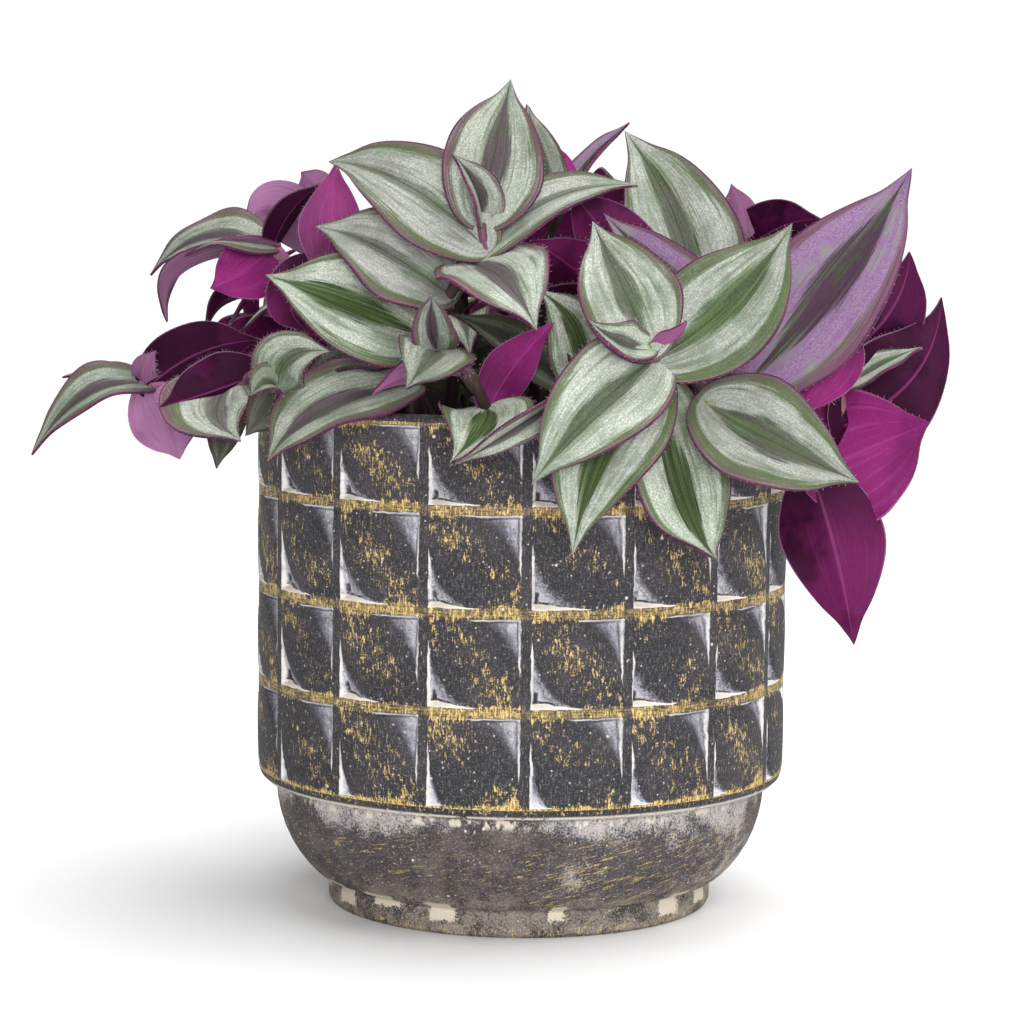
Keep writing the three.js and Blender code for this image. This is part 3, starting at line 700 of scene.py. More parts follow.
class PotMarks:
    """Where the pot's glaze is gold, silver, cream or black, and where shade and highlights are
    painted on it, as masks from 0 to 1.
    """

    def __init__(self, recipe):
        self.recipe = recipe
        self.around, self.height, _ = recipe.parts(recipe.map("squares"))
        self.reach = recipe.attribute("dips")
        self.grain, self.patches = grain_and_patches(recipe, FINE_GRAIN, 60.0)
        self.read_squares()
        self.read_brush()

    def read_squares(self):
        """Distances from the ribs, the two dips of a square and the crest between them."""
        r = self.recipe
        wander = (r.noise(r.object_place(), 330.0, detail=2.0) - 0.5) * 0.03
        self.relief = r.rise(self.height, 0.0, 0.01) * r.rise(self.height, ROWS, ROWS - 0.01)
        self.bottom_row = r.rise(self.height, 1.01, 0.99)
        self.cell_u = r.math("FRACT", self.around)
        self.cell_v = r.math("FRACT", self.height)
        self.left = self.cell_u - RIB + wander
        self.low = self.cell_v - RIB + wander
        self.right = 1 - RIB - self.cell_u + wander
        self.top = 1 - RIB - self.cell_v + wander
        nearest = r.least(r.least(self.left, self.low), r.least(self.right, self.top))
        inside = self.relief * r.rise(nearest, -0.012, 0.004)
        side = 1 - 2 * RIB
        u, v, right, top = (place / side for place in (self.left, self.low, self.right, self.top))
        self.low_dip = inside * dip_node(r, u, v, self.reach[0], self.reach[1])
        self.high_dip = inside * dip_node(r, right, top, self.reach[2], self.reach[3])
        self.deepest = r.most(self.low_dip, self.high_dip)
        across = u + v - 1.0
        self.crest = inside * r.rise(abs(across), 0.62, 0.05)

    def read_brush(self):
        """The unevenness of dry brush marks, round 0."""
        r = self.recipe
        around, height = self.around, self.height
        upright = streaks(r, around, height, 58.0, 5.0)
        level = streaks(r, height, around, 52.0, 7.0, seed=3.0)
        broad = streaks(r, around, height, 13.0, 2.0, seed=1.3)
        slant = streaks(r, around + height * 0.5, height - around, 24.0, 3.0, seed=2.1)
        mixed = upright * 0.38 + level * 0.14 + (broad * 0.24 + slant * 0.24)
        self.brush = (mixed - 0.5) * 4.2 + (self.grain - 0.5) * 1.2
        self.upright, self.level, self.broad, self.slant = upright, level, broad, slant

    def painted(self, cover, soft=0.42):
        """Dry brush marks that cover about this part of the surface."""
        r = self.recipe
        over = self.brush + (cover - 0.5)
        return r.rise(over, 0.06, 0.06 + soft)

    def gold(self):
        """Strokes along the ribs, round the band's lower edge and over the crests."""
        r = self.recipe
        rib_v = r.least(self.cell_v, 1.0 - self.cell_v)
        rib_u = r.least(self.cell_u, 1.0 - self.cell_u)
        level = self.relief * r.rise(rib_v, RIB * 2.0, RIB * 0.5)
        upright = self.relief * r.rise(rib_u, RIB * 1.3, RIB * 0.5)
        level = level * (1.0 - upright * 0.6)
        edge = r.between(self.height, -0.08, 0.05, 0.04)
        glow = r.rise(self.height, 0.3, 0.0) * r.rise(self.height, -0.04, 0.0)
        patchy = r.rise(self.patches * 0.6 + self.broad * 0.4, 0.4, 0.58)
        cover = level * (0.44 + patchy * 0.26) + upright * 0.1
        cover = cover + self.crest * patchy * 0.52
        cover = cover + r.most(edge, glow * 0.7) * 0.4
        on_band = r.rise(self.height, -0.1, 0.0) * 0.13
        gold = self.painted(cover + on_band, 0.52)
        ridge = level * r.rise(rib_v, RIB * 1.2, RIB * 0.4)
        stroke = r.rise(self.level, 0.36, 0.56) * (patchy * 0.45 + 0.4)
        gold = r.most(gold, ridge * stroke)
        return gold * (1.0 - r.rise(self.deepest, 0.0, 0.12))

    def silver(self):
        """Silver paint with a painted sheen: brightest along the dips' corners, fading grain by grain
        towards their edges.
        """
        r = self.recipe
        rough = (self.grain - 0.5) * 1.3 + (self.slant - 0.5) * 1.2
        low = r.rise(self.low_dip + rough * 0.8, 0.0, 0.7)
        low = low * r.rise(self.low_dip, 0.0, 0.12)
        drop = self.bottom_row * r.rise(self.low_dip + rough * 0.6, 0.0, 0.6)
        drop = drop * r.rise(self.low_dip, 0.0, 0.12)
        near_right = r.rise(self.right, 0.32, 0.0)
        near_top = r.rise(self.top, 0.16, 0.0)
        high = near_right * 0.7 + (near_top * 0.3 + rough * 0.8)
        high = r.rise(high, 0.12, 1.2) * r.rise(self.high_dip, 0.0, 0.4)
        return r.most(r.most(low * 0.85, high * 0.95), drop * 0.95)

    def lines(self):
        """Painted highlights: chalky lines along the dips' steep sides and the ledge's edge."""
        r = self.recipe
        broken = r.rise(self.broad, 0.3, 0.48)
        left = r.between(self.left, -0.008, 0.016, 0.006) * r.rise(self.low_dip, 0.0, 0.06)
        under = r.between(self.low, -0.006, 0.006, 0.005) * r.rise(self.low_dip, 0.0, 0.05)
        over_ledge = self.low - self.ledge_height()
        upper = r.between(over_ledge, -0.012, 0.002, 0.004) * r.rise(self.low_dip, 0.05, 0.2)
        right = r.between(self.right, 0.0, 0.014, 0.006)
        top = r.between(self.top, 0.0, 0.014, 0.006) * 0.85
        far = r.most(right, top) * r.rise(self.high_dip, 0.0, 0.05)
        return r.most(r.most(left, far), r.most(under, upper * 0.7)) * broken

    def ledge_height(self):
        """How high the ledge under a low dip reaches, as a part of the square."""
        r = self.recipe
        return 0.004 + r.rise(self.low_dip, 0.0, 0.75) * (WALL_RUN["bottom"] * 0.62)

    def ledge(self):
        """Painted highlight: the ledge under the low dips, cream where light from above falls on it,
        except in the bottom row.
        """
        r = self.recipe
        over = self.low - self.ledge_height()
        shown = r.rise(over, 0.006, -0.004) * r.rise(self.low_dip, 0.0, 0.04)
        return shown * (1.0 - self.bottom_row)

    def painted_crease_shade(self):
        """Painted shade: the black line over the ledge, the black corner of the dip and dark lines
        inside the high dip's walls.
        """
        r = self.recipe
        over = self.low - self.ledge_height()
        line = r.between(over, 0.004, 0.028, 0.006) * r.rise(self.low_dip, 0.2, 0.4)
        corner = r.between(self.left, 0.022, 0.065, 0.008) * r.between(over, 0.0, 0.12, 0.02)
        line = r.most(line, corner) * (1.0 - self.bottom_row)
        behind = r.between(self.right, 0.022, 0.036, 0.006)
        behind = r.most(behind, r.between(self.top, 0.022, 0.04, 0.008))
        behind = behind * r.rise(self.high_dip, 0.0, 0.1) * 0.7
        return r.most(line, behind) * r.rise(self.slant, 0.34, 0.5)

    def specks(self, scale, size, share):
        """Small round specks in this share of the cells of a scattered pattern."""
        r = self.recipe
        inputs = {"Vector": r.object_place(), "Scale": scale}
        distance, chance = r.results("ShaderNodeTexVoronoi", ["Distance", "Color"], inputs)
        lucky = r.parts(chance)[0]
        return r.rise(distance, size, size * 0.5) * r.rise(lucky, 1 - share, 1.001 - share)


def foot_blocks(recipe, marks, rubbed):
    """Cream patches with upright sides, set at uneven steps round the foot."""
    r = recipe
    step = marks.around * BLOCKS_PER_SQUARE
    inputs = {"W": r.math("FLOOR", step)}
    chance = r.result("ShaderNodeTexWhiteNoise", "Color", inputs, noise_dimensions="1D")
    lucky, size, drop = r.parts(chance)
    off_middle = abs(r.math("FRACT", step) - 0.5)
    ragged = (rubbed - 0.5) * 0.5
    half = 0.1 + size * 0.2 + ragged
    column = r.rise(half - off_middle, 0.0, 0.03) * r.rise(lucky, 0.2, 0.21)
    lowest = BLOCK_BOTTOM - drop * 0.16
    row = r.rise(marks.height - lowest + ragged * 0.5, 0.0, 0.02)
    return column * row * r.rise(marks.height, *BLOCK_TOP)


def bowl_colour(recipe, marks, colour, gold_colour):
    """The worn bowl under the band: chalky where it is rubbed, cream on the foot."""
    r = recipe
    height, around = marks.height, marks.around
    bowl = r.rise(height, *BOWL_BEGINS)
    wide = r.noise(r.object_place(), 24.0, detail=3.0)
    smudge = r.noise(r.object_place(), 130.0, detail=6.0, roughness=0.7)
    fine = r.noise(r.object_place(), 1900.0, detail=2.0, roughness=0.7)
    earthy = r.mix(r.rise(smudge, 0.4, 0.62), EARTH, EARTH_LIGHT)
    earthy = r.mix(r.rise(wide, 0.44, 0.6) * 0.5, earthy, EARTH_BLUISH)
    earthy = r.mix(r.rise(fine, 0.5, 0.72) * 0.6, earthy, EARTH_PALE)
    earthy = r.mix(r.rise(fine, 0.48, 0.3) * 0.5, earthy, EARTH_BLACK)
    colour = r.mix(bowl * 0.94, colour, earthy)
    rubbed = smudge * 0.6 + fine * 0.4
    closeness = r.rise(height, *WORN_ZONE)
    near_step = rubbed * 0.4 + (wide * 0.6 + closeness * 0.12)
    worn = r.rise(near_step, 0.57, 0.66) * r.rise(fine, 0.3, 0.5)
    colour = r.mix(bowl * (worn * 0.8), colour, WORN_GREY)
    near_foot = r.rise(height, *FOOT_ZONE) * r.rise(rubbed, 0.42, 0.58)
    colour = r.mix(near_foot * 0.5, colour, FOOT_GREY)
    scratch = streaks(r, height - around * 0.22, around, 60.0, 10.0, seed=5.5)
    scratched = scratch * 0.8 + wide * 0.2
    scratched = r.rise(scratched, 0.575, 0.63) * r.rise(height, -0.1, -0.6)
    colour = r.mix(bowl * scratched * 0.75, colour, gold_colour)
    colour = r.mix(foot_blocks(r, marks, rubbed) * 0.9, colour, CREAM)
    step_line = r.between(height, *STEP_LINE, 0.01)
    step_smear = r.between(height, *STEP_SMEAR, 0.03) * r.rise(smudge - marks.broad, 0.02, 0.12)
    step_mark = r.most(step_line * r.rise(marks.broad, 0.36, 0.46), step_smear)
    colour = r.mix(step_mark * 0.85, colour, CREAM)
    shade_line = r.between(height, *STEP_SHADE, 0.006) * r.rise(smudge, 0.36, 0.5)
    colour = r.mix(shade_line * 0.7, colour, BLACK)
    foot_gold = r.rise(height, *FOOT_GOLD) * marks.painted(0.5)
    return r.mix(foot_gold * 0.85, colour, gold_colour)


def pot_material():
    """Charcoal glaze, dry-brushed with gold on the ribs and silver in the dips, with painted shade,
    highlights and sheen in the relief.
    """
    material, r, shader = new_material("pot_glaze", Specular_IOR_Level=0.3)
    marks = PotMarks(r)
    grain, patches = marks.grain, marks.patches
    glaze = r.mix(r.rise(patches, 0.4, 0.68), CHARCOAL, UMBER)
    weave = grain * 0.5 + marks.upright * 0.5
    glaze = r.mix(r.rise(weave, 0.49, 0.66) * 0.6, glaze, DUSTY_GREY)
    glaze = r.mix(r.rise(grain, 0.5, 0.3) * 0.6, glaze, BLACK)
    gold_colour = r.mix(r.rise(marks.upright + grain * 0.3, 0.52, 0.8), GOLD, PALE_GOLD)
    slate = r.most(r.rise(marks.high_dip, 0.0, 0.3), r.rise(marks.low_dip, 0.0, 0.3))
    colour = bowl_colour(r, marks, glaze, gold_colour)
    colour = r.mix(slate * 0.8, colour, SLATE)
    gold = marks.gold()
    colour = r.mix(gold * 0.92, colour, gold_colour)
    # silver paint in the dips, with a painted sheen
    colour = r.mix(marks.silver(), colour, SILVER)
    # painted shade in the dips' corners
    colour = r.mix(marks.painted_crease_shade() * 0.92, colour, BLACK)
    # painted highlight on the ledges
    colour = r.mix(marks.ledge() * 0.9, colour, CREAM)
    # painted highlights along the dips' steep sides
    colour = r.mix(marks.lines() * 0.85, colour, CHALK)
    colour = r.mix(marks.specks(640.0, 0.2, 0.3) * 0.6, colour, CHALK)
    colour = r.mix(marks.specks(230.0, 0.12, 0.16) * 0.8, colour, CHALK)
    # painted shade: the pot's inside, near black
    colour = r.mix(r.rise(marks.height, ROWS + 0.06, ROWS + 0.1), colour, INSIDE_SHADE)
    r.put(shader["Base Color"], colour)
    r.put(shader["Roughness"], 0.5 + grain * 0.25)
    relief = marks.brush * 0.4 + (grain + gold * 0.4)
    r.put(shader["Normal"], r.bump(relief, 0.0004, 0.6))
    return material


def square_lines():
    """Where a square has rows of vertices: close together at its ribs."""
    return HALF_SQUARE_LINES + [0.5] + [1 - line for line in HALF_SQUARE_LINES[:0:-1]]


def dip(u, v, reach_u, reach_v):
    """As dip_node, for geometry."""
    u, v = np.maximum(u, NEARLY_NOTHING), np.maximum(v, NEARLY_NOTHING)
    span = ((u / reach_u) ** DIP_SHAPE + (v / reach_v) ** DIP_SHAPE) ** (1 / DIP_SHAPE)
    return np.clip(1 - span, 0, 1)


def ramp(place, run):
    return np.clip((place - RIB) / run, 0, 1)


def relief_depth(cell_u, cell_v, reach):
    """How far a square's surface lies inside the band's radius."""
    u, v = (cell_u - RIB) / (1 - 2 * RIB), (cell_v - RIB) / (1 - 2 * RIB)
    low = dip(u, v, reach[0], reach[1]) ** LOW_DIP_CURVE
    low = low * ramp(cell_u, WALL_RUN["left"]) * ramp(cell_v, WALL_RUN["bottom"])
    high = dip(1 - u, 1 - v, reach[2], reach[3]) ** HIGH_DIP_CURVE
    high = high * ramp(1 - cell_u, WALL_RUN["right"]) * ramp(1 - cell_v, WALL_RUN["top"])
    # 16 brings the product of the four parts to 1 in the square's middle
    middle = np.clip(u, 0, 1) * np.clip(1 - u, 0, 1) * np.clip(v, 0, 1) * np.clip(1 - v, 0, 1) * 16
    return DIP_DEPTH * np.maximum(low, HIGH_DIP_SHARE * high) - PILLOW * np.clip(middle, 0, 1) ** 0.5


def bowl_rows():
    """Radius and height up the bowl, a quarter of an ellipse."""
    rows = []
    for height in BOWL_HEIGHTS:
        drop = (BOWL["centre_height"] - height) / BOWL["drop"]
        rows.append((BOWL["centre_radius"] + BOWL["width"] * math.sqrt(1 - drop * drop), height))
    return rows


def pot_profile():
    """Rows of the wall as radius, height, map height and row of squares (-1 outside them)."""
    rows = [(AXIS_HOLE, 0), (UNDERSIDE_RING, 0)] + FOOT + bowl_rows() + STEP
    profile = [(radius, height, (height - ROW_EDGES[0]) / MAP_STEP, -1) for radius, height in rows]
    for row in range(ROWS):
        low, high = ROW_EDGES[row], ROW_EDGES[row + 1]
        skipped = LOWEST_RIB_HIDDEN * RIB if row == 0 else 0
        for line in square_lines():
            map_line = skipped + line * (1 - skipped)
            profile.append((POT_RADIUS, low + (high - low) * line, row + map_line, row))
    top = ROW_EDGES[-1]
    profile.append((POT_RADIUS, top, ROWS, -1))
    profile += [(radius, height, ROWS + (height - top) / MAP_STEP, -1) for radius, height in RIM]
    inside = INSIDE + [(AXIS_HOLE, INSIDE[-1][1])]
    return profile + [(radius, height, INSIDE_MAP, -1) for radius, height in inside]


def pot_column(sheet, square, cell_u, wall):
    """One column of squares at its place round the pot, each square with its own dips."""
    radius, height, map_height, row_of = wall
    reach = np.ones((len(cell_u), 4))
    depth = np.zeros(len(cell_u))
    for row in range(ROWS):
        here = row_of == row
        sizes = np.array(DIP_SIZES if row else BOTTOM_DIP_SIZES) * random.uniform(*DIP_SPREAD, 4)
        reach[here] = sizes
        depth[here] = relief_depth(cell_u[here], (map_height - row)[here], sizes)
    turn = np.radians(-90 + FIRST_SQUARE_EDGE + (square + cell_u) * 360 / SQUARES_ROUND)
    out = radius - depth
    piece = copy_of(sheet, f"pot_column_{square}")
    set_places(piece, np.c_[out * np.cos(turn), out * np.sin(turn), height] * MM)
    set_map(piece, "squares", np.c_[square + cell_u, map_height])
    set_colour(piece, "dips", reach)
    return piece


def build_pot():
    """One column of squares is shaped from a sheet and copied round, then joined."""
    profile = np.array(pot_profile())
    lines = np.array(square_lines() + [1.0])
    sheet = grid_blank("pot_column", len(lines) - 1, len(profile) - 1)
    places = places_of(sheet) + 0.5
    cell_u = lines[np.rint(places[:, 0] * (len(lines) - 1)).astype(int)]
    wall = profile[np.rint(places[:, 1] * (len(profile) - 1)).astype(int)].T
    columns = [pot_column(sheet, square, cell_u, wall) for square in range(SQUARES_ROUND)]
    discard(sheet)
    pot = merged(joined(columns, "relief_pot"), SEAM * MM)
    smoothed(pot, POT_CREASE)
    use_materials(pot, pot_material())
    show_instead(pot, "pot")


# ---------------------------------------------------------------- soil

SOIL_BLACK = (0.011, 0.007, 0.005)
SOIL_BROWN = (0.045, 0.027, 0.017)
PALE_CRUMB = (0.12, 0.085, 0.06)


def soil_material():
    """Dark, damp, crumbly potting soil."""
    material, recipe, shader = new_material("potting_soil")
    speckle, patches = grain_and_patches(recipe, 700.0, 160.0)
    colour = recipe.mix(recipe.rise(patches, 0.35, 0.7), SOIL_BLACK, SOIL_BROWN)
    colour = recipe.mix(recipe.rise(speckle, 0.62, 0.8), colour, PALE_CRUMB)
    recipe.put(shader["Base Color"], colour)
    recipe.put(shader["Roughness"], 1.0 - patches * 0.25)
    recipe.put(shader["Normal"], recipe.bump(speckle + patches, 0.0012, 0.9))
    return material


def matrix_at(place, size, spin):
    """A 4x4 matrix that scales by size (three numbers), turns by spin (three angles) and moves."""
    (ca, cb, cc), (sa, sb, sc) = np.cos(spin), np.sin(spin)
    turn = np.array([[cb * cc, -cb * sc, sb],
                     [ca * sc + cc * sa * sb, ca * cc - sa * sb * sc, -cb * sa],
                     [sa * sc - ca * cc * sb, cc * sa + ca * sb * sc, ca * cb]])
    matrix = np.eye(4)
    matrix[:3, :3] = turn * np.asarray(size)
    matrix[:3, 3] = place
    return matrix


def soil_bed():
    """A rough round bed: a disc of rings, raised a little in its middle."""
    deselect_all()
    bpy.ops.mesh.primitive_circle_add(vertices=BED_SIDES, radius=SOIL_RADIUS * MM, fill_type="NOTHING",
                                      location=(0, 0, SOIL_FLOOR * MM))
    bed = bpy.context.object
    bpy.ops.object.mode_set(mode="EDIT")
    bpy.ops.mesh.select_all(action="SELECT")
    wall = (SOIL_TOP - SOIL_EDGE_DROP - SOIL_FLOOR) * MM
    bpy.ops.mesh.extrude_region_move(TRANSFORM_OT_translate={"value": (0, 0, wall)})
    for rings_left in range(BED_RINGS, 0, -1):
        share = (rings_left - 1) / rings_left if rings_left > 1 else BED_MIDDLE
        bpy.ops.mesh.extrude_region_move()
        bpy.ops.transform.resize(value=(share, share, 1), center_override=(0, 0, 0))
    bpy.ops.mesh.edge_face_add()
    bpy.ops.mesh.select_all(action="SELECT")
    bpy.ops.mesh.normals_make_consistent(inside=False)
    bpy.ops.object.mode_set(mode="OBJECT")
    places = places_of(bed)
    on_top = places[:, 2] > (SOIL_FLOOR + SOIL_TOP) / 2 * MM
    reach = np.hypot(places[:, 0], places[:, 1]) / (SOIL_RADIUS * MM)
    uneven = random.uniform(*SOIL_UNEVEN, on_top.sum())
    places[on_top, 2] += (uneven + SOIL_DOME * (1 - reach[on_top] ** 3)) * MM
    set_places(bed, places)
    return bed


def soil_crumbs():
    """Loose crumbs of all sizes, half sunk in the bed."""
    bpy.ops.mesh.primitive_ico_sphere_add(subdivisions=1, radius=1, location=(0, 0, 0))
    crumb = bpy.context.object
    matrices = []
    for _ in range(CRUMBS):
        distance = (SOIL_RADIUS - CRUMB_MARGIN) * math.sqrt(random.random())
        turn = random.uniform(0, 2 * math.pi)
        size = random.uniform(*CRUMB_SIZE) * random.uniform(*CRUMB_STRETCH, 3)
        dome = SOIL_DOME * (1 - (distance / SOIL_RADIUS) ** 3)
        height = SOIL_TOP + dome - CRUMB_SUNK + random.uniform(*CRUMB_LIFT)
        place = np.array([distance * math.cos(turn), distance * math.sin(turn), height])
        matrices.append(matrix_at(place * MM, size * MM, random.uniform(0, 6, 3)))
    crumbs = many_of(crumb, "crumbs", matrices)
    discard(crumb)
    return crumbs


def build_soil():
    """The bed and its crumbs, as one piece."""
    soil = joined([soil_bed(), soil_crumbs()], "soil_bed")
    use_materials(soil, soil_material())
    show_instead(soil, "soil")


# ---------------------------------------------------------------- leaf materials

SILVER_GREEN = srgb("#9EAA96")
SPARKLE = srgb("#E2E8DD")
SILVER_SHADE = srgb("#6C7B64")
SILVER_VIOLET = srgb("#8A5094")
DEEP_GREEN = srgb("#263A14")
LEAF_GREEN = srgb("#4B652D")
PURPLE_GREY = srgb("#472D42")
OLIVE = srgb("#5E5A38")
RIM_PURPLE = srgb("#672E50")
RIM_DARK = srgb("#4A2340")
BASE_YELLOW = srgb("#9DAE5A")
MAGENTA = srgb("#87266A")
MAGENTA_LIGHT = srgb("#A94A8F")
MAGENTA_SHADE = srgb("#2E0423")
LAVENDER = srgb("#A87CA2")
SHADE_GREEN = srgb("#36402A")
VEIN_GREEN = srgb("#343D20")
DEEP_SHADE = srgb("#15170E")
GREYED_MAUVE = srgb("#8C6A86")
STEM_MAUVE = srgb("#854872")
STEM_OLIVE = srgb("#75664A")
STEM_PINK = srgb("#BB8FA8")
STEM_DARK = srgb("#1D1A10")
HAIR_PINK = srgb("#A58A9A")
HAIR_PALE = srgb("#D5CBC9")

# Metres: stems get darker below and within these places, and are darkest past the second.
DARK_BELOW = (0.158, 0.138)
DARK_LOW_WITHIN = (0.088, 0.074)
DARK_WITHIN = (0.064, 0.05)


def blade_places(recipe):
    """From the blade's map: the distance from the midrib (0 to 1), the signed one, the length."""
    across, along, _ = recipe.parts(recipe.map("blade"))
    signed = across * 2.0 - 1.0
    return abs(signed), signed, along


def silver_band(r, textures, violet, painted_shade):
    """Sparkling silver with green flecks and, on violet leaves, violet patches; painted shade turns it
    dark green.
    """
    grain, fine, broad, mottle = textures
    glint = grain * 0.62 + fine * 0.38
    silver = r.mix(r.rise(glint, 0.4, 0.64), SILVER_GREEN, SPARKLE)
    silver = r.mix(r.rise(mottle, 0.44, 0.6) * 0.6, silver, SILVER_SHADE)
    silver = r.mix(r.rise(fine, 0.52, 0.66) * 0.5, silver, LEAF_GREEN)
    silver = r.mix(r.rise(broad, 0.54, 0.7) * 0.4, silver, LEAF_GREEN)
    violet_patch = violet * r.rise(mottle, 0.68, 0.5)
    violet_patch = violet_patch * (r.rise(grain, 0.38, 0.58) * 0.45 + 0.5)
    silver = r.mix(violet_patch, silver, SILVER_VIOLET)
    # painted shade: the silver turns dark green on shaded leaves
    return r.mix(painted_shade * 0.7, silver, SHADE_GREEN)


def leaf_top_material():
    """Two silver bands between a green or purple midrib, a green margin and a purple rim; painted
    shade darkens shaded leaves.
    """
    material, r, shader = new_material("leaf_upper_side", Specular_IOR_Level=0.14)
    out, signed, along = blade_places(r)
    violet, purple, unshaded, own = r.attribute("tone")
    rib_depth, rib_wide, margin_wide, _ = r.attribute("marks")
    grain, patches = grain_and_patches(r, FINE_GRAIN, 85.0)
    fine = streaks(r, signed, along, 26.0, 11.0, seed=own)
    broad = streaks(r, signed, along, 7.0, 3.0, seed=own + 3.3)
    ragged = (fine - 0.5) * 0.26 + (broad - 0.5) * 0.45
    place = out + ragged

    # the midrib band: widest before the middle, drawn out into streaks
    swell = r.rise(along, -0.05, 0.42) * r.rise(along, 1.12, 0.5)
    rib_width = swell * rib_wide + 0.02
    past_rib = place - rib_width
    rib = r.rise(past_rib, 0.06, -0.05) * rib_depth
    feather = r.rise(fine, 0.5, 0.62) * r.rise(past_rib, 0.3, 0.02)
    to_margin = place + margin_wide - 1.0
    margin = r.rise(to_margin, -0.08, 0.07) * (r.rise(fine, 0.36, 0.56) * 0.3 + 0.7)
    rim = r.rise(out, 0.96, 0.982)
    vein = r.rise(out, 0.022, 0.006)
    mottle = broad * 0.45 + patches * 0.55

    green = r.mix(r.rise(fine, 0.34, 0.66), DEEP_GREEN, LEAF_GREEN)
    green = r.mix(r.rise(grain, 0.45, 0.7) * 0.25, green, SILVER_SHADE)
    # painted shade: how far this leaf is darkened
    painted_shade = r.left_over(unshaded)
    silver = silver_band(r, (grain, fine, broad, mottle), violet, painted_shade)
    rib_colour = r.mix(purple * r.rise(mottle, 0.66, 0.46), green, PURPLE_GREY)
    margin_colour = r.mix(violet * 0.6 + 0.1, green, OLIVE)
    purple_edge = r.rise(out, 0.9 - purple * 0.22, 0.99) * (purple * 0.7 + 0.25)
    margin_colour = r.mix(purple_edge, margin_colour, RIM_PURPLE)
    colour = r.mix(feather * 0.6, silver, green)
    pale_side = r.rise(past_rib, -0.2, 0.0) * r.rise(fine, 0.42, 0.6)
    colour = r.mix(rib, colour, r.mix(pale_side * 0.4, rib_colour, SILVER_SHADE))
    colour = r.mix(margin * 0.9, colour, margin_colour)
    colour = r.mix(rim, colour, r.mix(r.rise(patches, 0.4, 0.6), RIM_DARK, RIM_PURPLE))
    colour = r.mix(vein * 0.55, colour, VEIN_GREEN)
    base = r.rise(along, 0.05, 0.0) * r.rise(out, 0.4, 0.1)
    colour = r.mix(base * 0.4, colour, BASE_YELLOW)
    # painted shade over the whole leaf
    colour = r.mix(painted_shade * 0.55, colour, DEEP_SHADE)
    r.put(shader["Base Color"], colour)
    r.put(shader["Roughness"], 0.38 + grain * 0.2)
    height = fine * 1.6 + grain * 0.6
    r.put(shader["Normal"], r.bump(height, 0.0003, 0.7))
    return material


def leaf_under_material():
    """Satin magenta with faint lines, painted shade, a painted sheen at the margin, and paler where
    light comes through.
    """
    material, r, shader = new_material("leaf_under_side", Specular_IOR_Level=0.08)
    out, signed, along = blade_places(r)
    violet, _, unshaded, own = r.attribute("tone")
    glow = r.attribute("marks")[3]
    grain, patches = grain_and_patches(r, FINE_GRAIN, 60.0)
    lines = streaks(r, signed, along, 22.0, 16.0, seed=own)
    colour = r.mix(r.rise(lines, 0.48, 0.72) * 0.36, MAGENTA, MAGENTA_LIGHT)
    colour = r.mix(r.rise(grain, 0.5, 0.72) * 0.3, colour, MAGENTA_LIGHT)
    # painted shade: darker towards the base, in soft patches and on shaded leaves
    shade_to_base = r.rise(along, 0.55, 0.0) * 0.4
    shade = r.rise(patches, 0.42, 0.66) * 0.35 + r.left_over(unshaded)
    colour = r.mix(shade + shade_to_base, colour, MAGENTA_SHADE)
    greyed = r.rise(violet, 0.75, 0.95) * (1.0 - glow)
    colour = r.mix(greyed * (r.rise(lines, 0.36, 0.6) * 0.5 + 0.45), colour, GREYED_MAUVE)
    colour = r.mix(glow * (r.rise(lines, 0.3, 0.6) * 0.4 + 0.6), colour, LAVENDER)
    colour = r.mix(r.rise(out, 0.04, 0.01) * 0.3, colour, MAGENTA_LIGHT)
    # painted sheen: a pale lavender line along the margin
    colour = r.mix(r.rise(out, 0.965, 0.985) * 0.45, colour, LAVENDER)
    r.put(shader["Base Color"], colour)
    r.put(shader["Roughness"], 0.34 + grain * 0.2)
    r.put(shader["Normal"], r.bump(lines * 1.2 + grain * 0.9, 0.0003, 0.5))
    return material


def stem_material():
    """Fleshy stem, mauve-pink above and dark green-brown down in the plant."""
    material, r, shader = new_material("stem_skin", Specular_IOR_Level=0.25)
    x, y, height = r.parts(r.object_place())
    from_axis = r.math("SQRT", x * x + y * y)
    grain, patches = grain_and_patches(r, 1300.0, 75.0)
    colour = r.mix(r.rise(patches, 0.4, 0.62), STEM_MAUVE, STEM_OLIVE)
    colour = r.mix(r.rise(grain, 0.5, 0.7) * 0.3, colour, STEM_PINK)
    low = r.rise(height, *DARK_BELOW) * r.rise(from_axis, *DARK_LOW_WITHIN)
    deep = r.most(low, r.rise(from_axis, *DARK_WITHIN))
    colour = r.mix(deep * 0.92, colour, STEM_DARK)
    r.put(shader["Base Color"], colour)
    r.put(shader["Roughness"], 0.36 + grain * 0.2)
    r.put(shader["Normal"], r.bump(grain, 0.0002, 0.4))
    return material


def hair_material():
    """Thin pale hairs, a little pink at random."""
    material, r, shader = new_material("leaf_hairs", Roughness=0.5)
    grain, _ = grain_and_patches(r, 400.0, 75.0)
    r.put(shader["Base Color"], r.mix(r.rise(grain, 0.4, 0.6), HAIR_PINK, HAIR_PALE))
    return material


# ---------------------------------------------------------------- stems and leaves

def unit(vectors):
    return vectors / np.linalg.norm(vectors, axis=-1, keepdims=True)


def outline(t):
    """Half the outline of a leaf: round at its base, drawn out to a pointed tip."""
    near = np.sqrt(np.clip(1 - (1 - np.minimum(t, WIDEST_AT) / WIDEST_AT) ** 2, 0, 1))
    s = (t - WIDEST_AT) / (1 - WIDEST_AT)
    off_waist = (t - TIP_WAIST["place"]) / TIP_WAIST["length"]
    far = np.clip(1 - s * s, 0, 1) ** TIP_CURVE * (1 - TIP_WAIST["depth"] * np.exp(-off_waist ** 2))
    return np.where(t < WIDEST_AT, near, far)


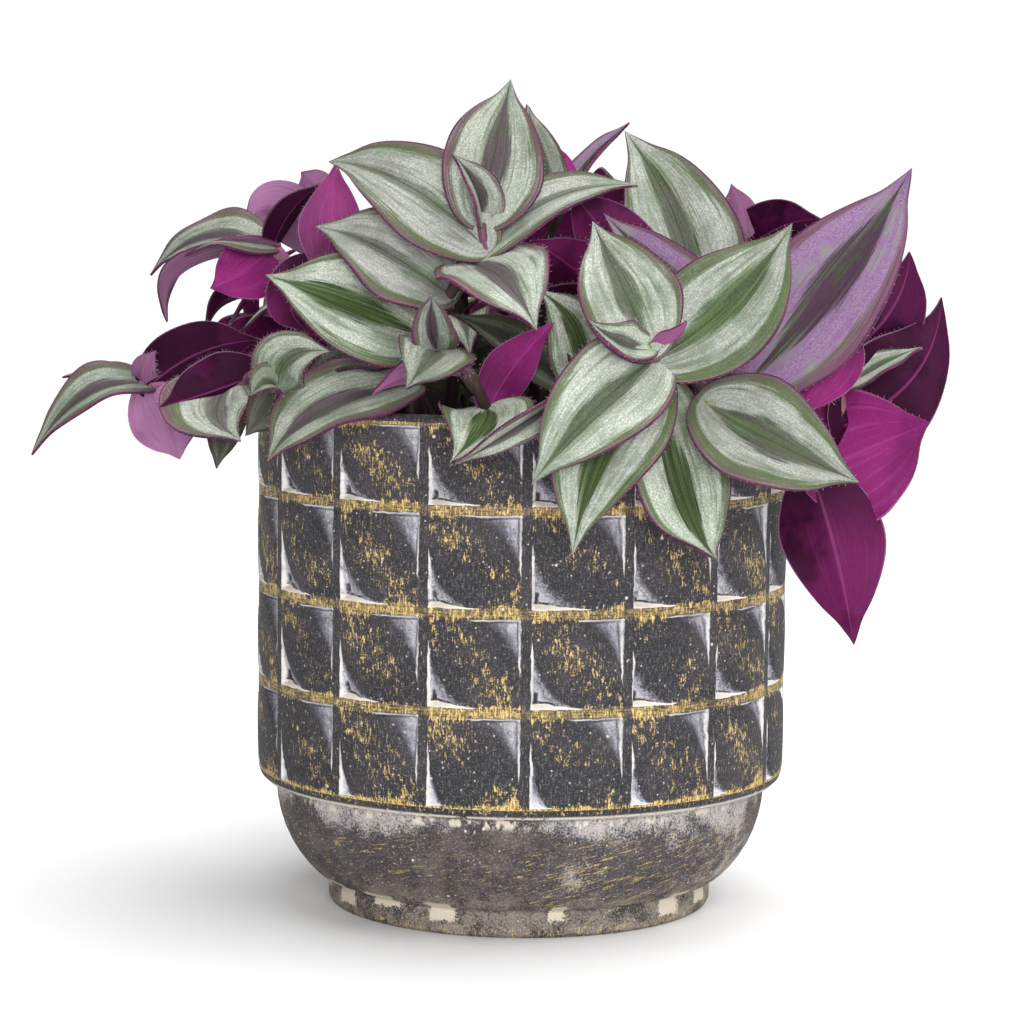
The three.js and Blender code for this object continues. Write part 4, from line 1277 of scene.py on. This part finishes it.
def clasp(base, face, wide, t):
    """Moves a leaf's base to the outer side of its stem, so that it wraps the node."""
    outward = unit(np.array([base[0], base[1], OUTWARD_RISE]))
    side_of_stem = 1.0 if face.dot(outward) > 0 else -1.0
    share = np.clip(1 - t / CLASP_LENGTH, 0, 1) ** 2
    return side_of_stem * CLASP * wide * unit(face) * share[:, None]


def bent_midrib(base, tip, bow, face, t):
    """Points along the midrib, and there the ways along, across and up from the leaf."""
    bend = (base + tip) / 2 + 2 * bow
    t = t[:, None]
    middle = base * (1 - t) ** 2 + bend * 2 * t * (1 - t) + tip * t ** 2
    along = unit((bend - base) * (1 - t) + (tip - bend) * t)
    side = unit(np.cross(along, face))
    return middle, along, side, np.cross(side, along)


def waves(t, count, u, phases):
    """A wave along the leaf, with a phase of its own on each half."""
    return np.sin(2 * math.pi * count * t + np.where(u > 0, *phases))


def set_leaf_marks(piece, tone, count):
    """The numbers that the leaf materials read, a little different for each leaf."""
    values = np.array(TONES[tone])
    values[:3] = np.clip(values[:3] + random.uniform(-TONE_SPREAD, TONE_SPREAD, 3), 0, 1)
    own = np.tile([*values[:3], random.uniform(0, 9)], (count, 1))
    set_colour(piece, "tone", own)
    set_colour(piece, "marks", np.tile(values[3:], (count, 1)))


def leaf_from(blank, name, base, leaf):
    """A copy of the flat blade, laid along its midrib, folded, arched and a little waved.

    Returns the blade and the roots and directions of the hairs on its margin.
    """
    _, tip, bow, face, wide, fold, tone = leaf
    base, tip, bow, face = (np.array(v, dtype=float) for v in (base, tip, bow, face))
    piece = copy_of(blank, name)
    flat = places_of(piece)
    u = flat[:, 0] * 2  # -1 and 1 at the margins
    out = np.abs(u)
    t = np.clip(flat[:, 1] + 0.5, 0, 1) ** ROW_SPACING
    middle, along, side, up = bent_midrib(base, tip, bow, face, t)
    angle = math.radians(fold)
    phase = random.uniform(0, 2 * math.pi, 4)
    half = wide / 2 * outline(t) * (1 + SWAY * waves(t, SWAYS, u, phase[2:]))
    lift = half * math.sin(angle) * (out * (1 + MIDRIB_CUP) - MIDRIB_CUP * out * out)
    wave = random.uniform(*WAVE) * wide * waves(t, WAVES, u, phase[:2]) * out ** 2 * outline(t) ** 0.5
    lobe = LOBE * wide * out ** 1.5 * np.clip(1 - t / LOBE_LENGTH, 0, 1) ** 2
    places = middle + side * (half * u * math.cos(angle))[:, None] + up * (lift + wave)[:, None]
    places = places - along * lobe[:, None] + clasp(base, face, wide, t)
    set_places(piece, places * MM)
    set_map(piece, "blade", np.c_[(u + 1) / 2, t])
    set_leaf_marks(piece, tone, len(places))
    margin = (out > 0.999) & (t > HAIRY_MARGIN[0]) & (t < HAIRY_MARGIN[1])
    away = unit(side * np.sign(u)[:, None] + up * 0.5 + along * 0.35)
    return piece, np.c_[places, away][margin]


def smooth_path(points, steps):
    """A smooth curve through the points (Catmull-Rom), with steps to each stretch."""
    points = np.array(points, dtype=float)
    ends = np.vstack([2 * points[0] - points[1], points, 2 * points[-1] - points[-2]])
    curve = []
    for k in range(len(points) - 1):
        p0, p1, p2, p3 = ends[k:k + 4]
        for s in np.linspace(0, 1, steps, endpoint=False):
            curve.append(0.5 * (2 * p1 + (p2 - p0) * s + (2 * p0 - 5 * p1 + 4 * p2 - p3) * s ** 2
                                + (3 * p1 - p0 - 3 * p2 + p3) * s ** 3))
    curve.append(points[-1])
    return np.array(curve)


def tube_along(name, curve, radii):
    """A round tube with closed ends: a sheet rolled up and laid along the curve."""
    sheet = grid_blank(name, TUBE_SIDES, len(curve) - 1)
    flat = places_of(sheet)
    turn = (flat[:, 0] + 0.5) * 2 * math.pi
    step = np.rint((flat[:, 1] + 0.5) * (len(curve) - 1)).astype(int)
    along = unit(np.gradient(curve, axis=0))
    across = np.empty_like(along)
    axis = np.array([1.0, 0.0, 0.0])
    for k, direction in enumerate(along):
        axis = axis - direction * axis.dot(direction)
        axis = axis / np.linalg.norm(axis)
        across[k] = axis
    other = np.cross(along, across)
    ring = across[step] * np.cos(turn)[:, None] + other[step] * np.sin(turn)[:, None]
    set_places(sheet, (curve[step] + ring * np.array(radii)[step][:, None]) * MM)
    merged(sheet, TUBE_SEAM * MM, outward=False)
    bpy.ops.object.mode_set(mode="EDIT")
    bpy.ops.mesh.select_all(action="DESELECT")
    bpy.ops.mesh.select_non_manifold()
    bpy.ops.mesh.edge_face_add()
    bpy.ops.mesh.select_all(action="SELECT")
    bpy.ops.mesh.normals_make_consistent(inside=False)
    bpy.ops.object.mode_set(mode="OBJECT")
    return sheet


def stem_from(name, root, path):
    """The stem's tube, a little thicker at its nodes and drawn in at its end."""
    points = [(*root, HOLE_FLOOR), (*root, SOIL_TOP + STEM_FOOT)] + list(path)
    curve = smooth_path(points, STEM_STEPS)
    share = np.linspace(0, 1, len(curve))
    radii = STEM_RADIUS + (STEM_TIP_RADIUS - STEM_RADIUS) * share
    for node in range(2, len(points)):
        rings_off = np.arange(len(curve)) - STEM_STEPS * node
        radii += NODE_SWELLING * np.exp(-(rings_off / NODE_REACH) ** 2)
    radii[-len(STEM_END):] *= STEM_END
    return tube_along(name, curve, radii)


def sheath_from(name, path, node):
    """The short sleeve at a leaf's base that wraps the stem below its node."""
    points = np.array(path, dtype=float)
    place = points[node]
    before = points[node - 1] if node else place - np.array([0, 0, 6.0])
    back = unit(before - place)
    curve = np.array([place + back * distance for distance in SHEATH_PLACES])
    return tube_along(name, curve, SHEATH_RADII)


def hairs_from(name, seeds, length):
    """Fine hairs, one at each root (three numbers) in its direction (three numbers)."""
    bpy.ops.mesh.primitive_cone_add(vertices=3, radius1=1, radius2=HAIR_TIP, depth=1,
                                    end_fill_type="NOTHING", location=(0, 0, 0))
    cone = bpy.context.object
    matrices = []
    for seed in seeds:
        away = unit(seed[3:] + random.normal(0, HAIR_SPREAD, 3))
        across = unit(np.cross(away, [0.31, 0.52, 0.79]))
        long = length * random.uniform(*HAIR_LENGTH)
        start = seed[:3] + random.normal(0, HAIR_SHIFT, 3)
        matrix = np.eye(4)
        matrix[:3, 0] = across * HAIR_RADIUS * MM
        matrix[:3, 1] = np.cross(away, across) * HAIR_RADIUS * MM
        matrix[:3, 2] = away * long * MM
        matrix[:3, 3] = (start + away * long / 2) * MM
        matrices.append(matrix)
    hairs = many_of(cone, name, matrices)
    discard(cone)
    return hairs


def node_hair_seeds(path, nodes):
    """Hair roots round the stem at the nodes."""
    seeds = []
    for node in nodes:
        for _ in range(NODE_HAIRS):
            away = unit(random.normal(0, 1, 3))
            seeds.append([*(np.array(path[node]) + away * NODE_HAIR_ROOT), *away])
    return np.array(seeds)


def rosette_row(name, root, azimuth, reach, height, look, spin, size):
    """The stem row of a rosette: a leaning stem with leaves all round its end."""
    turn, tilt = math.radians(azimuth), math.radians(look)
    out = np.array([math.cos(turn) * math.cos(tilt), math.sin(turn) * math.cos(tilt), math.sin(tilt)])
    side = np.array([-math.sin(turn), math.cos(turn), 0])
    up = np.cross(out, side)
    start = np.array([*root, SOIL_TOP])
    crown = np.array([reach * math.cos(turn), reach * math.sin(turn), height])
    path = []
    for part in ROSETTE_BENDS:
        point = start + (crown - start) * part
        point[2] = SOIL_TOP + (height - SOIL_TOP) * math.sin(part * math.pi / 2)
        path.append(point)
    path += [crown + out * (k - 3) * NODE_STEP for k in range(len(ROSETTE_LEAVES))]
    leaves = []
    for clock, node, part, tone in ROSETTE_LEAVES:
        angle = math.radians(clock + spin)
        length = size * part
        hangs = math.cos(angle) < 0 and look < UPTURNED
        droop = -ROSETTE_DROOP if hangs else ROSETTE_DROOP * part
        spread = ROSETTE_REACH * math.sin(angle) * side + ROSETTE_REACH * math.cos(angle) * up
        tip = path[node] + length * (spread - droop * out)
        bow = out * length * ROSETTE_ARCH
        leaves.append((node, tip, bow, out, length * ROSETTE_WIDTH, ROSETTE_FOLD, tone))
    return name, root, path, leaves


def stem_with_sheaths(name, root, path, nodes):
    """The stem's tube and a sheath at each of its nodes."""
    wood = [stem_from(f"tube_{name}", root, path)]
    wood += [sheath_from(f"sheath_{name}_{node}", path, node) for node in nodes]
    return joined(wood, f"wood_{name}")


def build_leafy_stem(blank, row, materials):
    """Blades with thickness, the stem, its sheaths and the hairs, as one piece."""
    name, root, path, leaves = row
    upper, under, skin, hair = materials
    grown = [leaf_from(blank, f"blade_{k}", path[leaf[0]], leaf) for k, leaf in enumerate(leaves)]
    blades = joined([blade for blade, _ in grown], f"blades_{name}")
    merged(blades, BLADE_SEAM * MM, outward=False)
    use_materials(blades, upper, under)
    modified(blades, "SOLIDIFY", thickness=BLADE * MM, offset=-1, use_even_offset=False,
             material_offset=1, material_offset_rim=0)
    nodes = sorted({leaf[0] for leaf in leaves})
    wood = stem_with_sheaths(name, root, path, nodes)
    use_materials(wood, skin)
    margin_seeds = np.concatenate([seeds for _, seeds in grown])
    edge_hairs = hairs_from(f"edge_hairs_{name}", margin_seeds, EDGE_HAIR)
    node_hairs = hairs_from(f"node_hairs_{name}", node_hair_seeds(path, nodes), NODE_HAIR)
    for hairs in (edge_hairs, node_hairs):
        use_materials(hairs, hair)
    piece = joined([blades, wood, edge_hairs, node_hairs], f"foliage_{name}")
    smoothed(piece, LEAF_CREASE)
    show_instead(piece, f"leafy_stem_{name}")


def build_plant():
    """Every leafy stem, from the same flat blade."""
    materials = (leaf_top_material(), leaf_under_material(), stem_material(), hair_material())
    blank = grid_blank("leaf_blank", LEAF_ACROSS, LEAF_ALONG)
    for row in STEMS + [rosette_row(*rosette) for rosette in ROSETTES]:
        build_leafy_stem(blank, row, materials)
    discard(blank)


# ---------------------------------------------------------------- floor, light and camera (metres)

PHOTO_SIDE = 1024  # pixels
FOCAL = 3017  # in photo pixels
CAMERA = (0, -0.8, 0.182)
CAMERA_DOWN = 5.6  # degrees
CAMERA_ROLL = 0.57
POT_AXIS_COLUMN = 522.6  # where the pot's axis crosses the middle row
SKY = 0.33  # brightness of the white surroundings as they light the object
SKY_SEEN = 1.05  # their brightness as the camera sees them
FLOOR_SIZE = 16
FLOOR_SEEN = (0.8, 0.8, 0.8)
FLOOR_BOUNCE = (0.62, 0.62, 0.62)  # its colour as it throws light on the object
FLOOR_LIFT = 0.03  # light of its own, where the camera sees it
SUN_POWER = 3.5
SUN_WIDTH = 75  # degrees; a wide sun throws soft shadows
SUN_TILT = (2, 22)  # degrees about X and Y
# Name, place, target, size and power of each soft lamp.
SOFTBOXES = [
    ("front_softbox", (0.12, -1.3, 0.36), (0, 0, 0.12), 0.5, 12),
    ("back_softbox", (-0.5, 0.9, 0.8), (0, 0, 0.16), 0.6, 3),
]


def build_floor():
    """The plain ground, a little brighter to the camera than as a source of light."""
    deselect_all()
    bpy.ops.mesh.primitive_plane_add(size=FLOOR_SIZE, location=(0, 0, 0))
    floor = bpy.context.object
    floor.name = "floor"
    material, recipe, shader = new_material("pale_floor", Roughness=0.9)
    seen = recipe.seen_directly()
    recipe.put(shader["Base Color"], recipe.mix(seen, FLOOR_BOUNCE, FLOOR_SEEN))
    recipe.put(shader["Emission Color"], (1.0, 1.0, 1.0))
    recipe.put(shader["Emission Strength"], seen * FLOOR_LIFT)
    use_materials(floor, material)


def area_light(name, place, target, size, power):
    """A square lamp that faces its target."""
    light = bpy.data.lights.new(name, "AREA")
    light.size = size
    light.energy = power
    lamp = bpy.data.objects.new(name, light)
    bpy.context.scene.collection.objects.link(lamp)
    aim = np.array(target) - np.array(place)
    tilt = math.acos(-aim[2] / np.linalg.norm(aim))
    lamp.location = place
    lamp.rotation_euler = (tilt, 0, math.atan2(aim[1], aim[0]) - math.pi / 2)


def build_light():
    """White surroundings, a wide sun from above and two soft lamps."""
    world = bpy.data.worlds.new("studio")
    bpy.context.scene.world = world
    world.use_nodes = True
    recipe = Recipe(world.node_tree)
    background = world.node_tree.nodes["Background"].inputs
    seen = recipe.seen_directly()
    recipe.put(background["Color"], (1.0, 1.0, 1.0))
    recipe.put(background["Strength"], SKY + seen * (SKY_SEEN - SKY))
    sun = bpy.data.lights.new("key", "SUN")
    sun.energy = SUN_POWER
    sun.angle = math.radians(SUN_WIDTH)
    lamp = bpy.data.objects.new("key", sun)
    bpy.context.scene.collection.objects.link(lamp)
    lamp.rotation_euler = (math.radians(SUN_TILT[0]), math.radians(SUN_TILT[1]), 0)
    for softbox in SOFTBOXES:
        area_light(*softbox)


def build_camera():
    """The photo's camera, fitted to the pot's rim, rows and foot."""
    camera = bpy.data.cameras.new("camera")
    camera.sensor_width = 36
    camera.lens = FOCAL / PHOTO_SIDE * camera.sensor_width
    camera.shift_x = (PHOTO_SIDE / 2 - POT_AXIS_COLUMN) / PHOTO_SIDE
    seen = bpy.data.objects.new("camera", camera)
    bpy.context.scene.collection.objects.link(seen)
    seen.location = CAMERA
    seen.rotation_mode = "ZXY"
    seen.rotation_euler = (math.radians(90 - CAMERA_DOWN), 0, math.radians(CAMERA_ROLL))
    bpy.context.scene.camera = seen


build_camera()
build_floor()
build_light()
build_pot()
build_soil()
build_plant()

bpy.context.scene.view_settings.view_transform = "Standard"
